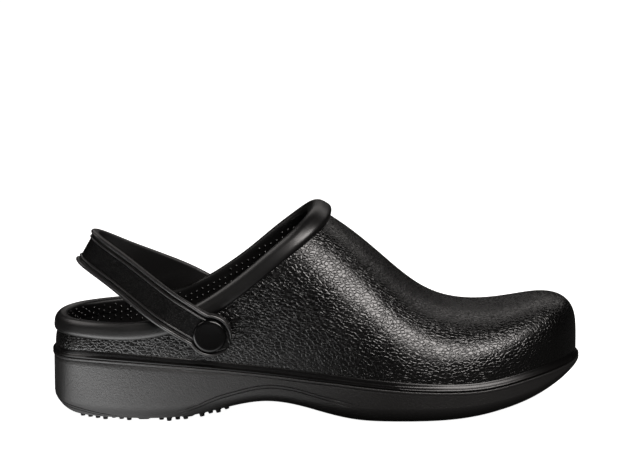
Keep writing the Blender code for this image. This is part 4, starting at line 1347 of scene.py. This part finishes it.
def make_camera():
    """The photograph's view: a long lens on the lateral side, a little above the shoe."""
    roll = Matrix.Rotation(math.radians(CAMERA_ROLL), 3, "Y")
    back = roll @ seen_from(CAMERA_ROUND_TO_TOE, CAMERA_ABOVE)
    right = roll @ Vector((*direction_at(CAMERA_ROUND_TO_TOE), 0.0))
    data = bpy.data.cameras.new("camera")
    data.sensor_width = CAMERA_SENSOR
    data.lens = CAMERA_LENS
    data.shift_x, data.shift_y = CAMERA_SHIFT
    data.clip_start = 0.05
    camera = bpy.data.objects.new("camera", data)
    bpy.context.scene.collection.objects.link(camera)
    turn = Matrix((right, back.cross(right), back)).transposed().to_4x4()
    camera.matrix_world = Matrix.Translation(Vector(CAMERA_AIM) + back * CAMERA_DISTANCE) @ turn
    bpy.context.scene.camera = camera


def make_floor():
    """A plain floor that runs out to white. The shoe sees it dim, but for a patch at the heel's side."""
    mesh = bpy.data.meshes.new("floor")
    near, far, half = -3.0, 6.0, 5.0
    corners = [(-half, near, 0), (half, near, 0), (half, far, 0), (-half, far, 0)]
    mesh.from_pydata(corners, [], [(0, 1, 2, 3)])
    paint = bpy.data.materials.new("pale_floor")
    paint.use_nodes = True
    tree = paint.node_tree
    shader = tree.nodes["Principled BSDF"]
    shader.inputs["Roughness"].default_value = 0.8
    shader.inputs["Emission Color"].default_value = WHITE
    by_camera = tree.nodes.new("ShaderNodeLightPath").outputs["Is Camera Ray"]
    inputs = {
        "Vector": tree.nodes.new("ShaderNodeTexCoord").outputs["Object"],
        "Location": HEEL_SIDE_PATCH,
        "Scale": HEEL_SIDE_PATCH_REACH,
    }
    patch = add_node(tree, "ShaderNodeMapping", inputs, vector_type="TEXTURE").outputs[0]
    from_patch = add_node(tree, "ShaderNodeVectorMath", {0: patch}, operation="LENGTH").outputs["Value"]
    bounced = maths(tree, "MULTIPLY", soft_range(tree, from_patch, 1.0, 0.1), HEEL_SIDE_GLOW)
    glow = add_node(tree, "ShaderNodeMix", {"Factor": by_camera, "A": bounced, "B": FLOOR_GLOW})
    inputs = {"Factor": by_camera, "A": (*[FLOOR_BOUNCE] * 3, 1.0), "B": (0.8, 0.8, 0.8, 1.0)}
    pale = add_node(tree, "ShaderNodeMix", inputs, data_type="RGBA")
    feed(tree, shader, {"Emission Strength": glow.outputs["Result"], "Base Color": pale.outputs["Result"]})
    mesh.materials.append(paint)
    new_mesh_object("floor", mesh)


def make_studio():
    """A studio that looks white and is dim round the shoe, lit by soft boxes."""
    world = bpy.data.worlds.new("studio")
    bpy.context.scene.world = world
    world.use_nodes = True
    tree = world.node_tree
    sky = tree.nodes["Background"]
    sky.inputs["Color"].default_value = WHITE
    by_camera = tree.nodes.new("ShaderNodeLightPath").outputs["Is Camera Ray"]
    rest = maths(tree, "MULTIPLY", by_camera, 1.0 - STUDIO_DIMNESS)
    feed(tree, sky, {"Strength": maths(tree, "ADD", rest, STUDIO_DIMNESS)})
    for name, turn, rise, size, power in SOFT_BOXES:
        away = seen_from(turn, rise)
        data = bpy.data.lights.new(name, "AREA")
        data.shape = "RECTANGLE"
        data.size, data.size_y = size
        data.energy = power
        data.color = WARM_WHITE
        light = bpy.data.objects.new(name, data)
        bpy.context.scene.collection.objects.link(light)
        light.location = SHOE_MIDDLE + away * BOX_DISTANCE
        light.rotation_mode = "QUATERNION"
        light.rotation_quaternion = away.to_track_quat("Z", "Y")
    bpy.context.scene.view_settings.view_transform = "Standard"


plan = rays(SIDE_STATIONS, HEEL_RAYS, TOE_RAYS)
sole_columns = [sole_column(ray) for ray in plan]
outsole_columns = [outsole_column(ray) for ray in plan]
insole_columns = [insole_column(ray) for ray in plan]
insole = loft("insole_skin", insole_columns, [lining_foam], loop=False)
upper = make_upper()

# Each piece that stands for a solid, with the solid's node and its slot
for piece, node, slot in (
    (upper, "upper", "upper"),
    (loft("sole_body", sole_columns, [sole_foam], loop=False), "sole", "sole"),
    (loft("outsole_plate", outsole_columns, [tread_rubber], loop=False), "outsole", "outsole"),
    (insole, "insole", "insole"),
    (make_strap(), "heel_strap", "strap"),
    (make_rivet(-1, "rivet_lateral_skin"), "rivet_lateral", "rivet"),
    (make_rivet(1, "rivet_medial_skin"), "rivet_medial", "rivet"),
):
    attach(piece, "root")
    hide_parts(node)

# The fine pieces that the solids go without
for piece, slot in (
    (insole_nubs(insole), "insole"),
    (lining_nubs(upper), "upper"),
    (make_lugs(), "outsole"),
    (make_tread_nubs(), "outsole"),
):
    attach(piece, "root")

make_camera()
make_floor()
make_studio()
